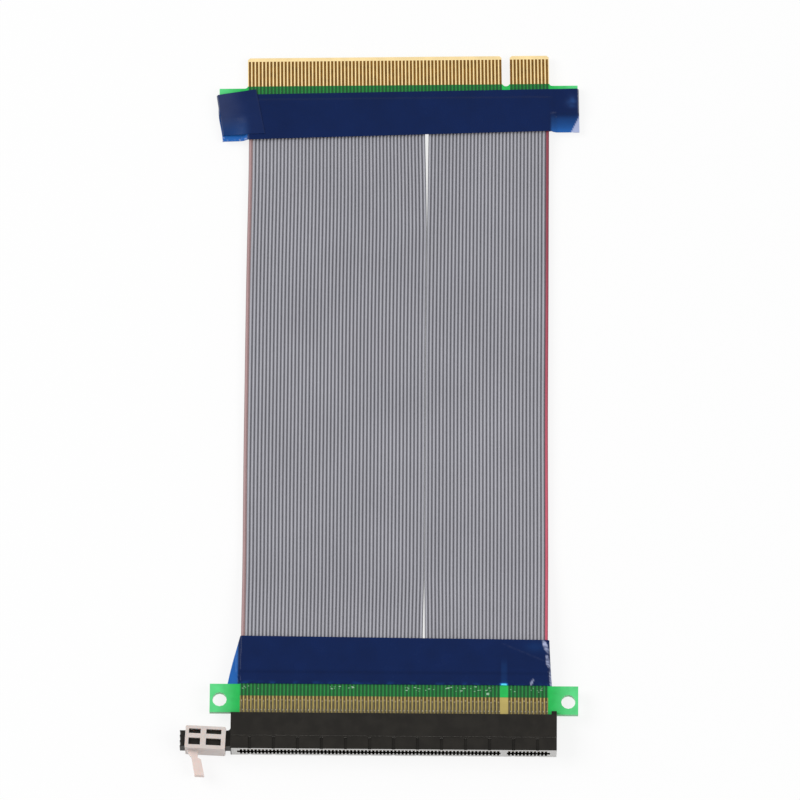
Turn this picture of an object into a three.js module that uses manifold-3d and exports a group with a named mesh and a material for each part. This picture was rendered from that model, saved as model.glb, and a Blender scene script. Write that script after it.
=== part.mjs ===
// Riser cable for a graphics card, lying flat on its back.
// It joins a card-edge board, four ribbon cables and a board with an expansion slot.
// Millimetres. +X is to the right, +Y runs from the slot to the card edge, +Z is up off the table.
// Sizes along Y are measured from the slot's mating face until the model is centred at the end.

import * as THREE from 'three';
import { mergeGeometries, mergeVertices } from 'three/addons/utils/BufferGeometryUtils.js';
import Module from 'manifold-3d';

const wasm = await Module();
wasm.setup();

// Contact rows, the same on both boards: a long row, the key and a short row
const pitch = 1.0;
const longRow = 71;
const keyPitches = 2;
const shortRow = 11;

// Both boards
const boardThickness = 1.6;
const copperThickness = 0.05;
const maskThickness = 0.09;
const layerGap = 0.01;
const rootLength = 0.5;
const keyNotchWidth = 2.3;

// Card-edge board, measured from its lower edge
const edgeBoardWidth = 100;
const edgeBodyDepth = 7.8;
const tabLength = 9.1;
const tabSideMargin = 0.05;
const tabRootRadius = 1.0;
const tabCornerCut = 0.6;
const tipBevelLength = 1.1;
const tipThickness = 0.8;
const fingerWidth = 0.6;
const fingerLength = 7.3;
const fingerSetback = 1.2;
const edgeBoardTurn = THREE.MathUtils.degToRad(1.0);

// Slot board, measured from the housing's back face
const earWidth = 8.2;
const earDepth = 7.95;
const tongueLength = 7.8;
const earHoleDiameter = 3.95;
const earHoleInset = 2.7;
const earHoleHeight = 3.6;
const padWindowHeight = 4.7;
const contactRootLength = 0.3;

// Slot housing
const housingEndWall = 2.4;
const housingHeight = 10.1;
const housingThickness = 7.5;
const slotWidth = 1.8;
const slotDepth = 8.6;
const slotEndMargin = 0.6;
const seatHeight = 0.7;
const keyRibWidth = 1.7;
const cellWidth = 0.62;
const cellDepth = 1.5;
const bandHeight = 3.65;
const bandStep = 0.15;
const grooveCount = 13;
const groovePitch = 6.53;
const grooveWidth = 0.85;
const grooveDepth = 0.4;
const pegLength = 1.4;
const pegReach = 1.35;
const pegHeight = 1.2;

// Tail of the housing, which carries the retention latch
const tailLength = 13.8;
const tailHeight = 4.4;
const tailThickness = 5.2;
const tailRise = 0.75;
const tailFillet = 1.0;
const tailNotchDepth = 0.4;
const tailNotches = 3;

// Contacts of the slot
const contactWidth = 0.42;
const contactThickness = 0.2;
const contactLift = 0.02;
const springReach = 0.25;
const springPeak = 3.2;
const springLip = 0.9;
const springFlare = 1.55;

// Retention latch, a collar that slides on the tail
const latchLength = 11.0;
const latchHeight = 6.3;
const latchCornerRadius = 0.5;
const latchGap = 1.3;
const latchClearance = 0.4;
const latchTilt = THREE.MathUtils.degToRad(-2.5);
const windowTopHeight = 1.3;
const windowLowHeight = 1.9;
const windowTopInset = 0.85;
const windowLowInset = 1.0;
const windowOuterWidth = 3.2;
const windowInnerWidth = 4.1;
const windowOuterInset = 0.95;
const windowInnerInset = 1.2;
const leverThickness = 2.4;
const leverLength = 6.9;
const leverBaseWidth = 3.3;
const leverBaseInset = 0.25;
const neckHeight = 1.9;
const neckWidth = 1.6;
const paddleWidth = 2.65;
const paddleShoulder = 0.6;
const leverLean = THREE.MathUtils.degToRad(12.5);

// Ribbon cables
const wideRibbonWires = 50;
const wireDiameter = 0.9;
const webThickness = 0.42;
const ribbonLayerGap = 0.1;
const ribbonSplit = 0.5;
const ribbonEdgeInset = 0.05;
const ribbonSpan = 157.6;
const ribbonEndGap = 0.2;
const ribbonMouth = 6;
const ribbonKnee = 23;
const ribbonFall = 37;
const ribbonRise = 18;
const ribbonKneeShare = 0.35;
const solderLength = 3.5;
const solderHeight = 0.3;
const solderGap = 0.06;

// Blue tape round each solder zone
const filmThickness = 0.25;
const filmGap = 0.1;
const tapeSlope = 1.2;
const tapeMargin = 0.3;
const tapeKneeShare = 0.6;

// Upper tape, measured from the lower edge of its board
const upperTapeLeft = 5.8;
const upperTapeRight = 6.65;
const upperTapeReachLeft = 7.3;
const upperTapeReachRight = 5.7;
const upperTapeTaper = 1.2;
const flapWidth = 10.75;
const flapRise = 1.6;
const flapSlant = 2.0;
const flapTopSlant = 0.6;
const flapOverhang = 0.5;

// Lower tape, measured from the ears' top edge
const lowerTapeRiseLeft = 13.4;
const lowerTapeRiseRight = 12.9;
const lowerTapeKneeDrop = 6.2;
const lowerTapeFlareLeft = 2.8;
const lowerTapeFlareRight = 0.8;

// How far a cutting tool or a joined piece runs past the face it meets
const past = 1;

// Heights and places that follow from the sizes
const rowPositions = longRow + keyPitches + shortRow;
const rowStart = -(rowPositions - 1) / 2 * pitch;
const keyCentre = rowStart + (longRow + (keyPitches - 1) / 2) * pitch;
const halfBoard = boardThickness / 2;
const rowHalf = rowPositions * pitch / 2;
const tabHalfWidth = rowHalf + tabSideMargin;
const slotBoardHalf = tabHalfWidth + earWidth;
const housingHalf = rowHalf + housingEndWall;
const solderHalf = halfBoard + solderHeight / 2 + wireDiameter / 2;
const ribbonAtBoard = halfBoard + solderHeight / 2;
const humpInner = solderHalf + filmGap;
const humpOuter = humpInner + filmThickness;
const slabInner = halfBoard + filmGap;
const slabOuter = slabInner + filmThickness;
const slotPlane = housingThickness / 2;
const edgePlane = humpOuter;
const housingBack = housingHeight + seatHeight;
const earTop = housingBack + earDepth;
const tongueEnd = earTop + tongueLength;
const ribbonLowEnd = tongueEnd + ribbonEndGap;
const ribbonTopEnd = tongueEnd + ribbonSpan - ribbonEndGap;
const edgeBoardLow = tongueEnd + ribbonSpan;
const fingerFoot = edgeBodyDepth + tabLength - fingerSetback - fingerLength;
const fingerRoot = edgeBodyDepth - 2 * rootLength;
const padTop = housingBack + padWindowHeight;
const layerHalf = (wireDiameter + ribbonLayerGap) / 2;
const restPair = wireDiameter + ribbonLayerGap / 2;

// Route of the ribbon pair: the Y, the mid-height and the half spacing of the two layers
const ribbonRoute = [
  [ribbonLowEnd, slotPlane, ribbonAtBoard],
  [ribbonLowEnd + ribbonMouth, slotPlane, layerHalf],
  [ribbonLowEnd + ribbonKnee, THREE.MathUtils.lerp(restPair, slotPlane, ribbonKneeShare), layerHalf],
  [ribbonLowEnd + ribbonFall, restPair, layerHalf],
  [ribbonTopEnd - ribbonRise, restPair, layerHalf],
  [ribbonTopEnd - ribbonMouth, edgePlane, layerHalf],
  [ribbonTopEnd, edgePlane, ribbonAtBoard],
];

const colours = {
  laminate: 0xd8c68a,
  mask: 0x1d9a4c,
  gold: 0x8a5f24,
  contact: 0x8f8455,
  black: 0x2a2623,
  latch: 0xe9dcd8,
  ribbon: 0x8b8b92,
  solder: 0xc7c9cc,
  film: 0x18294f,
};

function material(colour, roughness, metalness) {
  return new THREE.MeshStandardMaterial({ color: colour, roughness, metalness });
}

// A box between two corners
function block(x0, x1, y0, y1, z0, z1) {
  const box = new THREE.BoxGeometry(x1 - x0, y1 - y0, z1 - z0);
  return box.translate((x0 + x1) / 2, (y0 + y1) / 2, (z0 + z1) / 2);
}

function shapeFrom(points) {
  return new THREE.Shape(points.map(([u, v]) => new THREE.Vector2(u, v)));
}

// A flat plate with an outline in XY
function plate(outline, z0, z1, curveSegments = 6) {
  const shape = Array.isArray(outline) ? shapeFrom(outline) : outline;
  const solid = new THREE.ExtrudeGeometry(shape, { depth: z1 - z0, bevelEnabled: false, curveSegments });
  return solid.translate(0, 0, z0);
}

// A prism along X whose outline holds [y, z] points
function prismX(points, x0, x1) {
  const solid = new THREE.ExtrudeGeometry(shapeFrom(points), { depth: x1 - x0, bevelEnabled: false });
  const turn = new THREE.Matrix4().makeBasis(
    new THREE.Vector3(0, 1, 0), new THREE.Vector3(0, 0, 1), new THREE.Vector3(1, 0, 0),
  );
  return solid.applyMatrix4(turn).translate(x0, 0, 0);
}

// A prism along Y whose outline holds [x, z] points
function prismY(points, y0, y1, steps = 1) {
  const outline = shapeFrom(points.map(([x, z]) => [z, x]));
  const solid = new THREE.ExtrudeGeometry(outline, { depth: y1 - y0, bevelEnabled: false, steps });
  const turn = new THREE.Matrix4().makeBasis(
    new THREE.Vector3(0, 0, 1), new THREE.Vector3(1, 0, 0), new THREE.Vector3(0, 1, 0),
  );
  return solid.applyMatrix4(turn).translate(0, y0, 0);
}

function toSolid(geometry) {
  const bare = geometry.clone();
  bare.deleteAttribute('normal');
  bare.deleteAttribute('uv');
  const merged = mergeVertices(bare, 1e-4);
  const mesh = new wasm.Mesh({
    numProp: 3,
    vertProperties: new Float32Array(merged.attributes.position.array),
    triVerts: new Uint32Array(merged.index.array),
  });
  return new wasm.Manifold(mesh);
}

function toGeometry(solid) {
  const mesh = solid.getMesh();
  const geometry = new THREE.BufferGeometry();
  geometry.setAttribute('position', new THREE.BufferAttribute(new Float32Array(mesh.vertProperties), 3));
  geometry.setIndex(new THREE.BufferAttribute(new Uint32Array(mesh.triVerts), 1));
  geometry.computeVertexNormals();
  return geometry;
}

function cut(body, ...tools) {
  return tools.reduce((left, tool) => left.subtract(toSolid(tool)), body);
}

function join(body, ...parts) {
  return parts.reduce((left, part) => left.add(toSolid(part)), body);
}

// The lower and upper of two heights on one face of a board, +1 for its front and -1 for its back
function span(face, inner, outer) {
  return face > 0 ? [inner, outer] : [-outer, -inner];
}

// The X of every contact, with none at the key
function contactPlaces() {
  const places = [];
  for (let i = 0; i < rowPositions; i += 1) {
    const inKey = i >= longRow && i < longRow + keyPitches;
    if (!inKey) places.push(rowStart + i * pitch);
  }
  return places;
}

// The X of the ribbon wires from first up to last, which also cross the key
function wirePlaces(first, last) {
  const places = [];
  for (let i = first; i < last; i += 1) places.push(rowStart + i * pitch);
  return places;
}

// Like solids, one at each place along X
function row(places, makeOne) {
  return mergeGeometries(places.map((x) => makeOne(x)));
}

// Outline of the card-edge board: a body with shoulders, and a tab with the key notch
function edgeBoardOutline() {
  const half = edgeBoardWidth / 2;
  const tip = edgeBodyDepth + tabLength;
  const notch = keyNotchWidth / 2;
  const outline = new THREE.Shape();
  outline.moveTo(-half, 0);
  outline.lineTo(half, 0);
  outline.lineTo(half, edgeBodyDepth);
  outline.lineTo(tabHalfWidth + tabRootRadius, edgeBodyDepth);
  outline.quadraticCurveTo(tabHalfWidth, edgeBodyDepth, tabHalfWidth, edgeBodyDepth + tabRootRadius);
  outline.lineTo(tabHalfWidth, tip - tabCornerCut);
  outline.lineTo(tabHalfWidth - tabCornerCut, tip);
  outline.lineTo(keyCentre + notch + tabCornerCut, tip);
  outline.lineTo(keyCentre + notch, tip - tabCornerCut);
  outline.lineTo(keyCentre + notch, edgeBodyDepth + notch);
  outline.absarc(keyCentre, edgeBodyDepth + notch, notch, 0, -Math.PI, true);
  outline.lineTo(keyCentre - notch, tip - tabCornerCut);
  outline.lineTo(keyCentre - notch - tabCornerCut, tip);
  outline.lineTo(-tabHalfWidth + tabCornerCut, tip);
  outline.lineTo(-tabHalfWidth, tip - tabCornerCut);
  outline.lineTo(-tabHalfWidth, edgeBodyDepth + tabRootRadius);
  outline.quadraticCurveTo(-tabHalfWidth, edgeBodyDepth, -tabHalfWidth - tabRootRadius, edgeBodyDepth);
  outline.lineTo(-half, edgeBodyDepth);
  return outline;
}

// Outline of the slot board: two ears with a round hole each, and a notched tongue
function slotBoardOutline() {
  const half = slotBoardHalf;
  const notch = keyNotchWidth / 2;
  const outline = new THREE.Shape();
  outline.moveTo(-half, housingBack);
  outline.lineTo(half, housingBack);
  outline.lineTo(half, earTop);
  outline.lineTo(tabHalfWidth, earTop);
  outline.lineTo(tabHalfWidth, tongueEnd);
  outline.lineTo(keyCentre + notch, tongueEnd);
  outline.absarc(keyCentre, earTop + filmGap + notch, notch, 0, -Math.PI, true);
  outline.lineTo(keyCentre - notch, tongueEnd);
  outline.lineTo(-tabHalfWidth, tongueEnd);
  outline.lineTo(-tabHalfWidth, earTop);
  outline.lineTo(-half, earTop);
  for (const side of [-1, 1]) {
    const hole = new THREE.Path();
    const place = [side * (half - earHoleInset), housingBack + earHoleHeight];
    hole.absarc(...place, earHoleDiameter / 2, 0, 2 * Math.PI);
    outline.holes.push(hole);
  }
  return outline;
}

// Bare laminate of the card-edge board, bevelled at the tip
function edgeBoard() {
  const half = edgeBoardWidth / 2;
  const tip = edgeBodyDepth + tabLength;
  const bevelStart = tip - tipBevelLength;
  const section = [
    [0, -halfBoard], [bevelStart, -halfBoard], [tip, -tipThickness / 2],
    [tip, tipThickness / 2], [bevelStart, halfBoard], [0, halfBoard],
  ];
  const board = toSolid(plate(edgeBoardOutline(), -halfBoard, halfBoard));
  return toGeometry(board.intersect(toSolid(prismX(section, -half, half))));
}

// Solder mask on one face of a board, open over the solder and the bare copper.
// A pocket under its edge takes the roots of the copper.
function maskLayer(outline, face, windows, pocket) {
  const layer = toSolid(plate(outline, ...span(face, halfBoard, halfBoard + maskThickness), 6));
  const through = span(face, halfBoard - past, halfBoard + past);
  const overCopper = span(face, halfBoard - past, halfBoard + copperThickness + layerGap);
  const tools = windows.map((window) => block(...window, ...through));
  return toGeometry(cut(layer, ...tools, block(...pocket, ...overCopper)));
}

function edgeMask(face) {
  const wide = edgeBoardWidth;
  const beyond = edgeBodyDepth + tabLength + past;
  const pocketHalf = tabHalfWidth + 2 * layerGap;
  const windows = [
    [-wide, wide, fingerFoot, beyond],
    [-pocketHalf, pocketHalf, -past, solderLength + ribbonEndGap],
  ];
  const pocket = [-pocketHalf, pocketHalf, fingerRoot - layerGap, beyond];
  return maskLayer(edgeBoardOutline(), face, windows, pocket);
}

function slotMask(face) {
  const pocketHalf = tabHalfWidth + 2 * layerGap;
  const windows = [
    [-rowHalf, rowHalf, 0, padTop],
    [-pocketHalf, pocketHalf, tongueEnd - solderLength - ribbonEndGap, tongueEnd + past],
  ];
  const pocket = [-rowHalf, rowHalf, 0, padTop + rootLength + layerGap];
  return maskLayer(slotBoardOutline(), face, windows, pocket);
}

// Gold fingers on one face of the tab, joined at their roots under the solder mask
function edgeFingers(face) {
  const half = fingerWidth / 2;
  const tip = fingerFoot + fingerLength;
  const neck = fingerRoot + rootLength;
  const outline = [[rowStart - half, fingerRoot], [half - rowStart, fingerRoot]];
  for (const x of contactPlaces().reverse()) {
    if (x < -rowStart) outline.push([x + half, neck]);
    outline.push([x + half, tip], [x - half, tip]);
    if (x > rowStart) outline.push([x - half, neck]);
  }
  return plate(outline, ...span(face, halfBoard, halfBoard + copperThickness));
}

// Sprung contacts of one face. Their flat tails are soldered to copper that joins them under the mask,
// and their springs bow into the slot and end clear of the lip.
function slotContacts(face) {
  const seat = halfBoard + contactLift;
  const peak = slotWidth / 2 - springReach;
  const outline = [
    [padTop, seat], [slotDepth, seat], [springPeak, peak], [springLip, springFlare],
    [springPeak, peak + contactThickness], [padTop, seat + contactThickness],
  ].map(([y, z]) => [y, face * z]);
  const contacts = row(contactPlaces(), (x) => prismX(outline, x - contactWidth / 2, x + contactWidth / 2));
  const rootHalf = -rowStart + contactWidth / 2;
  const root = block(
    -rootHalf, rootHalf, padTop - contactRootLength, padTop + rootLength,
    ...span(face, halfBoard, halfBoard + copperThickness),
  );
  return toGeometry(join(toSolid(contacts), root));
}

// Outline of the tail, with a notched free end and a fillet at the housing
function tailOutline() {
  const root = -housingHalf;
  const end = root - tailLength;
  const top = tailRise + tailHeight;
  const notchPitch = tailHeight / tailNotches;
  const outline = new THREE.Shape();
  outline.moveTo(root + past, tailRise);
  outline.lineTo(root + past, top + tailFillet);
  outline.lineTo(root, top + tailFillet);
  outline.quadraticCurveTo(root, top, root - tailFillet, top);
  for (let i = 0; i < tailNotches; i += 1) {
    const y = top - i * notchPitch;
    outline.lineTo(end, y);
    outline.lineTo(end + tailNotchDepth, y - notchPitch / 2);
  }
  outline.lineTo(end, tailRise);
  return outline;
}

// Slot housing: body, tail, the board's seat and pegs, cut by the keyed slot, the contact cells and
// the side grooves
function slotHousing() {
  const half = housingHalf;
  const deep = housingThickness / 2;
  const band = deep - bandStep;
  const section = [
    [0, -band], [bandHeight, -band], [bandHeight, -deep], [housingHeight, -deep],
    [housingHeight, deep], [bandHeight, deep], [bandHeight, band], [0, band],
  ];
  let body = join(
    toSolid(prismX(section, -half, half)),
    plate(tailOutline(), -tailThickness / 2, tailThickness / 2),
    block(-half, half, housingHeight - past, housingBack, -halfBoard, halfBoard),
  );

  const slotHalf = rowHalf + slotEndMargin;
  const rib = keyRibWidth / 2;
  const wall = slotWidth / 2;
  body = cut(
    body,
    block(-slotHalf, keyCentre - rib, -past, slotDepth, -wall, wall),
    block(keyCentre + rib, slotHalf, -past, slotDepth, -wall, wall),
  );
  for (const face of [-1, 1]) {
    const cellSpan = span(face, halfBoard, wall + cellDepth);
    const cells = row(contactPlaces(), (x) => (
      block(x - cellWidth / 2, x + cellWidth / 2, -past, housingHeight + past, ...cellSpan)
    ));
    const grooves = [];
    for (let i = 0; i < grooveCount; i += 1) {
      const x = (i - (grooveCount - 1) / 2) * groovePitch;
      const open = span(face, band - grooveDepth, band + past);
      const end = bandHeight - grooveDepth;
      grooves.push(block(x - grooveWidth / 2, x + grooveWidth / 2, -past, end, ...open));
    }
    const pegSpan = span(face, halfBoard + maskThickness, halfBoard + maskThickness + pegHeight);
    const peg = block(half - pegLength, half, housingHeight - past, housingHeight + pegReach, ...pegSpan);
    body = join(cut(body, cells, mergeGeometries(grooves)), peg);
  }
  return toGeometry(body);
}

// Outline of the latch's collar about its own centre, with rounded corners
function collarOutline() {
  const half = latchLength / 2;
  const high = latchHeight / 2;
  const r = latchCornerRadius;
  const outline = new THREE.Shape();
  outline.moveTo(-half + r, -high);
  outline.lineTo(half - r, -high);
  outline.quadraticCurveTo(half, -high, half, -high + r);
  outline.lineTo(half, high - r);
  outline.quadraticCurveTo(half, high, half - r, high);
  outline.lineTo(-half + r, high);
  outline.quadraticCurveTo(-half, high, -half, high - r);
  outline.lineTo(-half, -high + r);
  outline.quadraticCurveTo(-half, -high, -half + r, -high);
  return outline;
}

// Outline of the latch's lever: a broad base, a neck and a leaning paddle
function leverOutline() {
  const high = latchHeight / 2;
  const baseLeft = -latchLength / 2 + leverBaseInset;
  const neckRight = baseLeft + leverBaseWidth;
  const neck = -high - neckHeight;
  const paddleRight = neckRight + (paddleWidth - neckWidth);
  const shift = (leverLength - neckHeight) * Math.tan(leverLean);
  return [
    [baseLeft, -high + latchCornerRadius], [neckRight, -high + latchCornerRadius],
    [neckRight, neck], [paddleRight, neck - paddleShoulder],
    [paddleRight + shift, -high - leverLength], [paddleRight + shift - paddleWidth, -high - leverLength],
    [neckRight - neckWidth, neck],
  ];
}

// Retention latch: a windowed collar round the tail and its lever, in one moulding
function retentionLatch() {
  const half = latchLength / 2;
  const high = latchHeight / 2;
  const deep = housingThickness / 2;
  const bore = tailHeight / 2 + latchClearance;
  const boreDeep = tailThickness / 2 + latchClearance;
  const left = -half + windowOuterInset;
  const right = half - windowInnerInset;
  const tools = [block(-half - past, half + past, -bore, bore, -boreDeep, boreDeep)];
  const rows = [
    [high - windowTopInset - windowTopHeight, windowTopHeight],
    [-high + windowLowInset, windowLowHeight],
  ];
  for (const [y, height] of rows) {
    tools.push(block(left, left + windowOuterWidth, y, y + height, -deep - past, deep + past));
    tools.push(block(right - windowInnerWidth, right, y, y + height, -deep - past, deep + past));
  }
  const moulding = join(
    toSolid(plate(collarOutline(), -deep, deep, 3)),
    plate(leverOutline(), -leverThickness / 2, leverThickness / 2),
  );
  return toGeometry(cut(moulding, ...tools));
}

// One ribbon of round wires side by side, swept along the route and cut square to each board.
// Its outer face shows every wire, and its inner face lies against the other layer.
function ribbon(firstWire, lastWire, face) {
  const places = wirePlaces(firstWire, lastWire);
  const leftInset = firstWire === 0 ? ribbonEdgeInset : ribbonSplit / 2;
  const rightInset = lastWire === rowPositions ? ribbonEdgeInset : ribbonSplit / 2;
  const left = places[0] - pitch / 2 + leftInset;
  const right = places[places.length - 1] + pitch / 2 - rightInset;
  const valley = webThickness / 2;
  const outline = [[left, -wireDiameter / 2], [right, -wireDiameter / 2], [right, valley]];
  for (const x of [...places].reverse()) {
    outline.push([x, wireDiameter / 2], [Math.max(x - pitch / 2, left), valley]);
  }
  const steps = ribbonRoute.length - 1;
  const geometry = prismY(outline.map(([x, z]) => [x, face * z]), 0, steps, steps);
  const position = geometry.attributes.position;
  for (let i = 0; i < position.count; i += 1) {
    const station = Math.round(position.getY(i));
    const [y, middle, spacing] = ribbonRoute[station];
    const skew = station === steps ? position.getX(i) * Math.tan(edgeBoardTurn) : 0;
    position.setY(i, y + skew);
    position.setZ(i, position.getZ(i) + middle + face * spacing);
  }
  geometry.computeVertexNormals();
  return geometry;
}

// Stripped wire ends soldered side by side on one face of a board, joined into one low row
function wireEnds(y0, y1, face) {
  const half = -rowStart + pitch / 2 - ribbonEdgeInset;
  const crest = halfBoard + solderHeight;
  const toe = Math.sign(y1 - y0) * solderHeight;
  const section = [[y0, halfBoard], [y1, halfBoard], [y1 - toe, crest], [y0, crest]];
  return prismX(section.map(([y, z]) => [y, face * z]), -half, half);
}

// Side view of the film over one solder zone, as [y, z] points from the ribbons' mouth to the board
function filmSection(mouth, foot, far, height, flat) {
  const slope = foot + Math.sign(far - mouth) * tapeSlope;
  return [
    [mouth, -height], [foot, -height], [slope, -flat], [far, -flat],
    [far, flat], [slope, flat], [foot, height], [mouth, height],
  ];
}

// Tape wound once round a board and its ribbons. It hugs what it covers, is pressed together beside
// the ribbons, and is cut to its outline.
function tapeSleeve({ outline, boardHalf, boardEdge, mouth, foot, far, flap }) {
  const onward = Math.sign(far - mouth);
  const wrap = filmThickness + filmGap;
  const humpHalf = tabHalfWidth + filmGap;
  const wide = edgeBoardWidth;
  const boardSpan = (extra) => [boardEdge - onward * extra, far + onward * extra].sort((a, b) => a - b);
  const outer = filmSection(mouth, foot, far, humpOuter, slabOuter);
  const inner = filmSection(mouth - onward * past, foot, far + onward * past, humpInner, slabInner);
  const shell = join(
    toSolid(prismX(outer, -humpHalf - filmThickness, humpHalf + filmThickness)),
    block(-boardHalf - wrap, boardHalf + wrap, ...boardSpan(wrap), -slabOuter, slabOuter),
    block(-wide, wide, Math.min(mouth, far), Math.max(mouth, far), -filmThickness, filmThickness),
  );
  const trimmed = shell.intersect(toSolid(plate(outline, -2 * humpOuter, 2 * humpOuter)));
  const covered = flap ? join(trimmed, flap) : trimmed;
  return toGeometry(cut(
    covered,
    prismX(inner, -humpHalf, humpHalf),
    block(-boardHalf - filmGap, boardHalf + filmGap, ...boardSpan(filmGap), -slabInner, slabInner),
  ));
}

// Upper tape, with its free end folded over the left end of the board onto the front
function upperTape() {
  const side = edgeBoardWidth / 2 + filmGap + filmThickness;
  const corner = [-side - flapOverhang, upperTapeLeft];
  const left = [corner, [-side, 0], [-side + upperTapeTaper, -upperTapeReachLeft]];
  const outline = [
    ...left, [-tabHalfWidth, -upperTapeReachLeft], [tabHalfWidth, -upperTapeReachRight],
    [side, -upperTapeReachRight], [side, upperTapeRight], [flapWidth - side, upperTapeLeft],
  ];
  const flap = [
    ...left, [flapWidth + flapSlant - side, -upperTapeReachLeft],
    [flapWidth - side, upperTapeLeft], [flapWidth - flapTopSlant - side, upperTapeLeft + flapRise],
  ];
  return tapeSleeve({
    outline,
    boardHalf: edgeBoardWidth / 2,
    boardEdge: 0,
    mouth: -upperTapeReachLeft - past,
    foot: solderLength + tapeMargin,
    far: edgeBodyDepth + past,
    flap: plate(flap, slabOuter, humpOuter + filmThickness),
  });
}

function lowerTape() {
  const side = tabHalfWidth + filmGap + filmThickness;
  const low = earTop + filmGap;
  const high = earTop + Math.max(lowerTapeRiseLeft, lowerTapeRiseRight);
  const knee = high - lowerTapeKneeDrop;
  const outline = [
    [-side, earTop + lowerTapeRiseLeft], [-side - lowerTapeFlareLeft * tapeKneeShare, knee],
    [-side - lowerTapeFlareLeft, low], [side + lowerTapeFlareRight, low],
    [side + lowerTapeFlareRight * tapeKneeShare, knee], [side, earTop + lowerTapeRiseRight],
  ];
  return tapeSleeve({
    outline,
    boardHalf: tabHalfWidth,
    boardEdge: tongueEnd,
    mouth: high + past,
    foot: tongueEnd - solderLength - tapeMargin,
    far: low - past,
    flap: null,
  });
}

const model = new THREE.Group();

function place(parent, name, geometry, finish, z = 0) {
  const mesh = new THREE.Mesh(geometry, finish);
  mesh.name = name;
  mesh.position.z = z;
  parent.add(mesh);
  return mesh;
}

const finishes = {
  laminate: () => material(colours.laminate, 0.5, 0),
  mask: () => material(colours.mask, 0.35, 0),
  gold: () => material(colours.gold, 0.3, 0.9),
  contact: () => material(colours.contact, 0.35, 0.8),
  black: () => material(colours.black, 0.45, 0),
  latch: () => material(colours.latch, 0.4, 0),
  ribbon: () => material(colours.ribbon, 0.5, 0),
  solder: () => material(colours.solder, 0.3, 0.9),
  film: () => material(colours.film, 0.2, 0),
};

// Card-edge end, turned a little against the ribbons
const edgeEnd = new THREE.Group();
edgeEnd.position.set(0, edgeBoardLow, edgePlane);
edgeEnd.rotation.z = edgeBoardTurn;
model.add(edgeEnd);
place(edgeEnd, 'edge_board', edgeBoard(), finishes.laminate());
place(edgeEnd, 'upper_tape', upperTape(), finishes.film());

// Slot end
place(model, 'slot_board', plate(slotBoardOutline(), -halfBoard, halfBoard), finishes.laminate(), slotPlane);
place(model, 'slot_housing', slotHousing(), finishes.black(), slotPlane);
place(model, 'lower_tape', lowerTape(), finishes.film(), slotPlane);
const latch = place(model, 'retention_latch', retentionLatch(), finishes.latch(), slotPlane);
latch.position.x = -housingHalf - latchGap - latchLength / 2;
latch.position.y = tailRise + tailHeight / 2;
latch.rotation.z = latchTilt;

// What lies on the front and the back alike
for (const [name, face] of [['front', 1], ['back', -1]]) {
  const edgeStart = -ribbonEndGap + solderGap;
  const slotStart = ribbonLowEnd - solderGap;
  place(edgeEnd, `edge_mask_${name}`, edgeMask(face), finishes.mask());
  place(edgeEnd, `edge_fingers_${name}`, edgeFingers(face), finishes.gold());
  place(edgeEnd, `upper_wire_ends_${name}`, wireEnds(edgeStart, solderLength, face), finishes.solder());
  place(model, `slot_mask_${name}`, slotMask(face), finishes.mask(), slotPlane);
  place(model, `slot_contacts_${name}`, slotContacts(face), finishes.contact(), slotPlane);
  const lowerEnds = wireEnds(slotStart, tongueEnd - solderLength, face);
  place(model, `lower_wire_ends_${name}`, lowerEnds, finishes.solder(), slotPlane);
  place(model, `ribbon_${name}_wide`, ribbon(0, wideRibbonWires, face), finishes.ribbon());
  place(model, `ribbon_${name}_narrow`, ribbon(wideRibbonWires, rowPositions, face), finishes.ribbon());
}

// The model is centred over the origin and stands on it
const bounds = new THREE.Box3().setFromObject(model, true);
const centre = bounds.getCenter(new THREE.Vector3());
model.position.set(-centre.x, -centre.y, -bounds.min.z);

const riserCable = new THREE.Group();
riserCable.add(model);
riserCable.updateMatrixWorld(true);

export default riserCable;
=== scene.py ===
"""Dresses the riser cable: ribbons, tapes, boards, contacts, slot housing and latch, and its stage.

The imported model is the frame. Sizes below are in millimetres. Points are written in one of two frames:
the slot's, with x from the middle of the contact rows, y from the mating face and z from the surface that
the part lies on, and the card edge's, with x from the same middle, y from the board's lower edge and z
from the board's mid-plane, turned a little with the board.
"""

import math
import random

import bpy
import numpy as np
from bpy.props import FloatProperty, FloatVectorProperty, PointerProperty
from mathutils import Matrix, Vector, noise


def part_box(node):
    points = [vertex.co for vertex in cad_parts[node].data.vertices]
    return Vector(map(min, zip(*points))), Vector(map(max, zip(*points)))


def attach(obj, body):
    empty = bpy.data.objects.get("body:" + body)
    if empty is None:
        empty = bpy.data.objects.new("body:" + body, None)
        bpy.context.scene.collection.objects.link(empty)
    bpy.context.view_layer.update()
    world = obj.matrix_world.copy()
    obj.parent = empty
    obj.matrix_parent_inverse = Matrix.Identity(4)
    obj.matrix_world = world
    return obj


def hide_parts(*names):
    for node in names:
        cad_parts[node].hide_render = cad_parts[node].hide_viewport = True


bl_info = {
    "name": "Riser cable",
    "version": (1, 0, 0),
    "blender": (4, 5, 0),
    "location": "View3D > Sidebar > Riser cable",
    "description": "Ribbons, tapes, boards, contacts and mouldings of a riser cable",
    "category": "Object",
}

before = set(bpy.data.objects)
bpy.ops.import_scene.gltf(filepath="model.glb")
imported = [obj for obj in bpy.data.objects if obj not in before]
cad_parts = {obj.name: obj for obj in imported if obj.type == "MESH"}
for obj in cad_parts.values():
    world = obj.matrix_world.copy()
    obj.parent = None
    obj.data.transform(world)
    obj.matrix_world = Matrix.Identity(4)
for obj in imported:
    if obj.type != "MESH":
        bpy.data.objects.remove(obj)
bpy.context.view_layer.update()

MM = 0.001


def box_mm(node):
    low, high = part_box(node)
    return Vector(low) / MM, Vector(high) / MM


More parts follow.
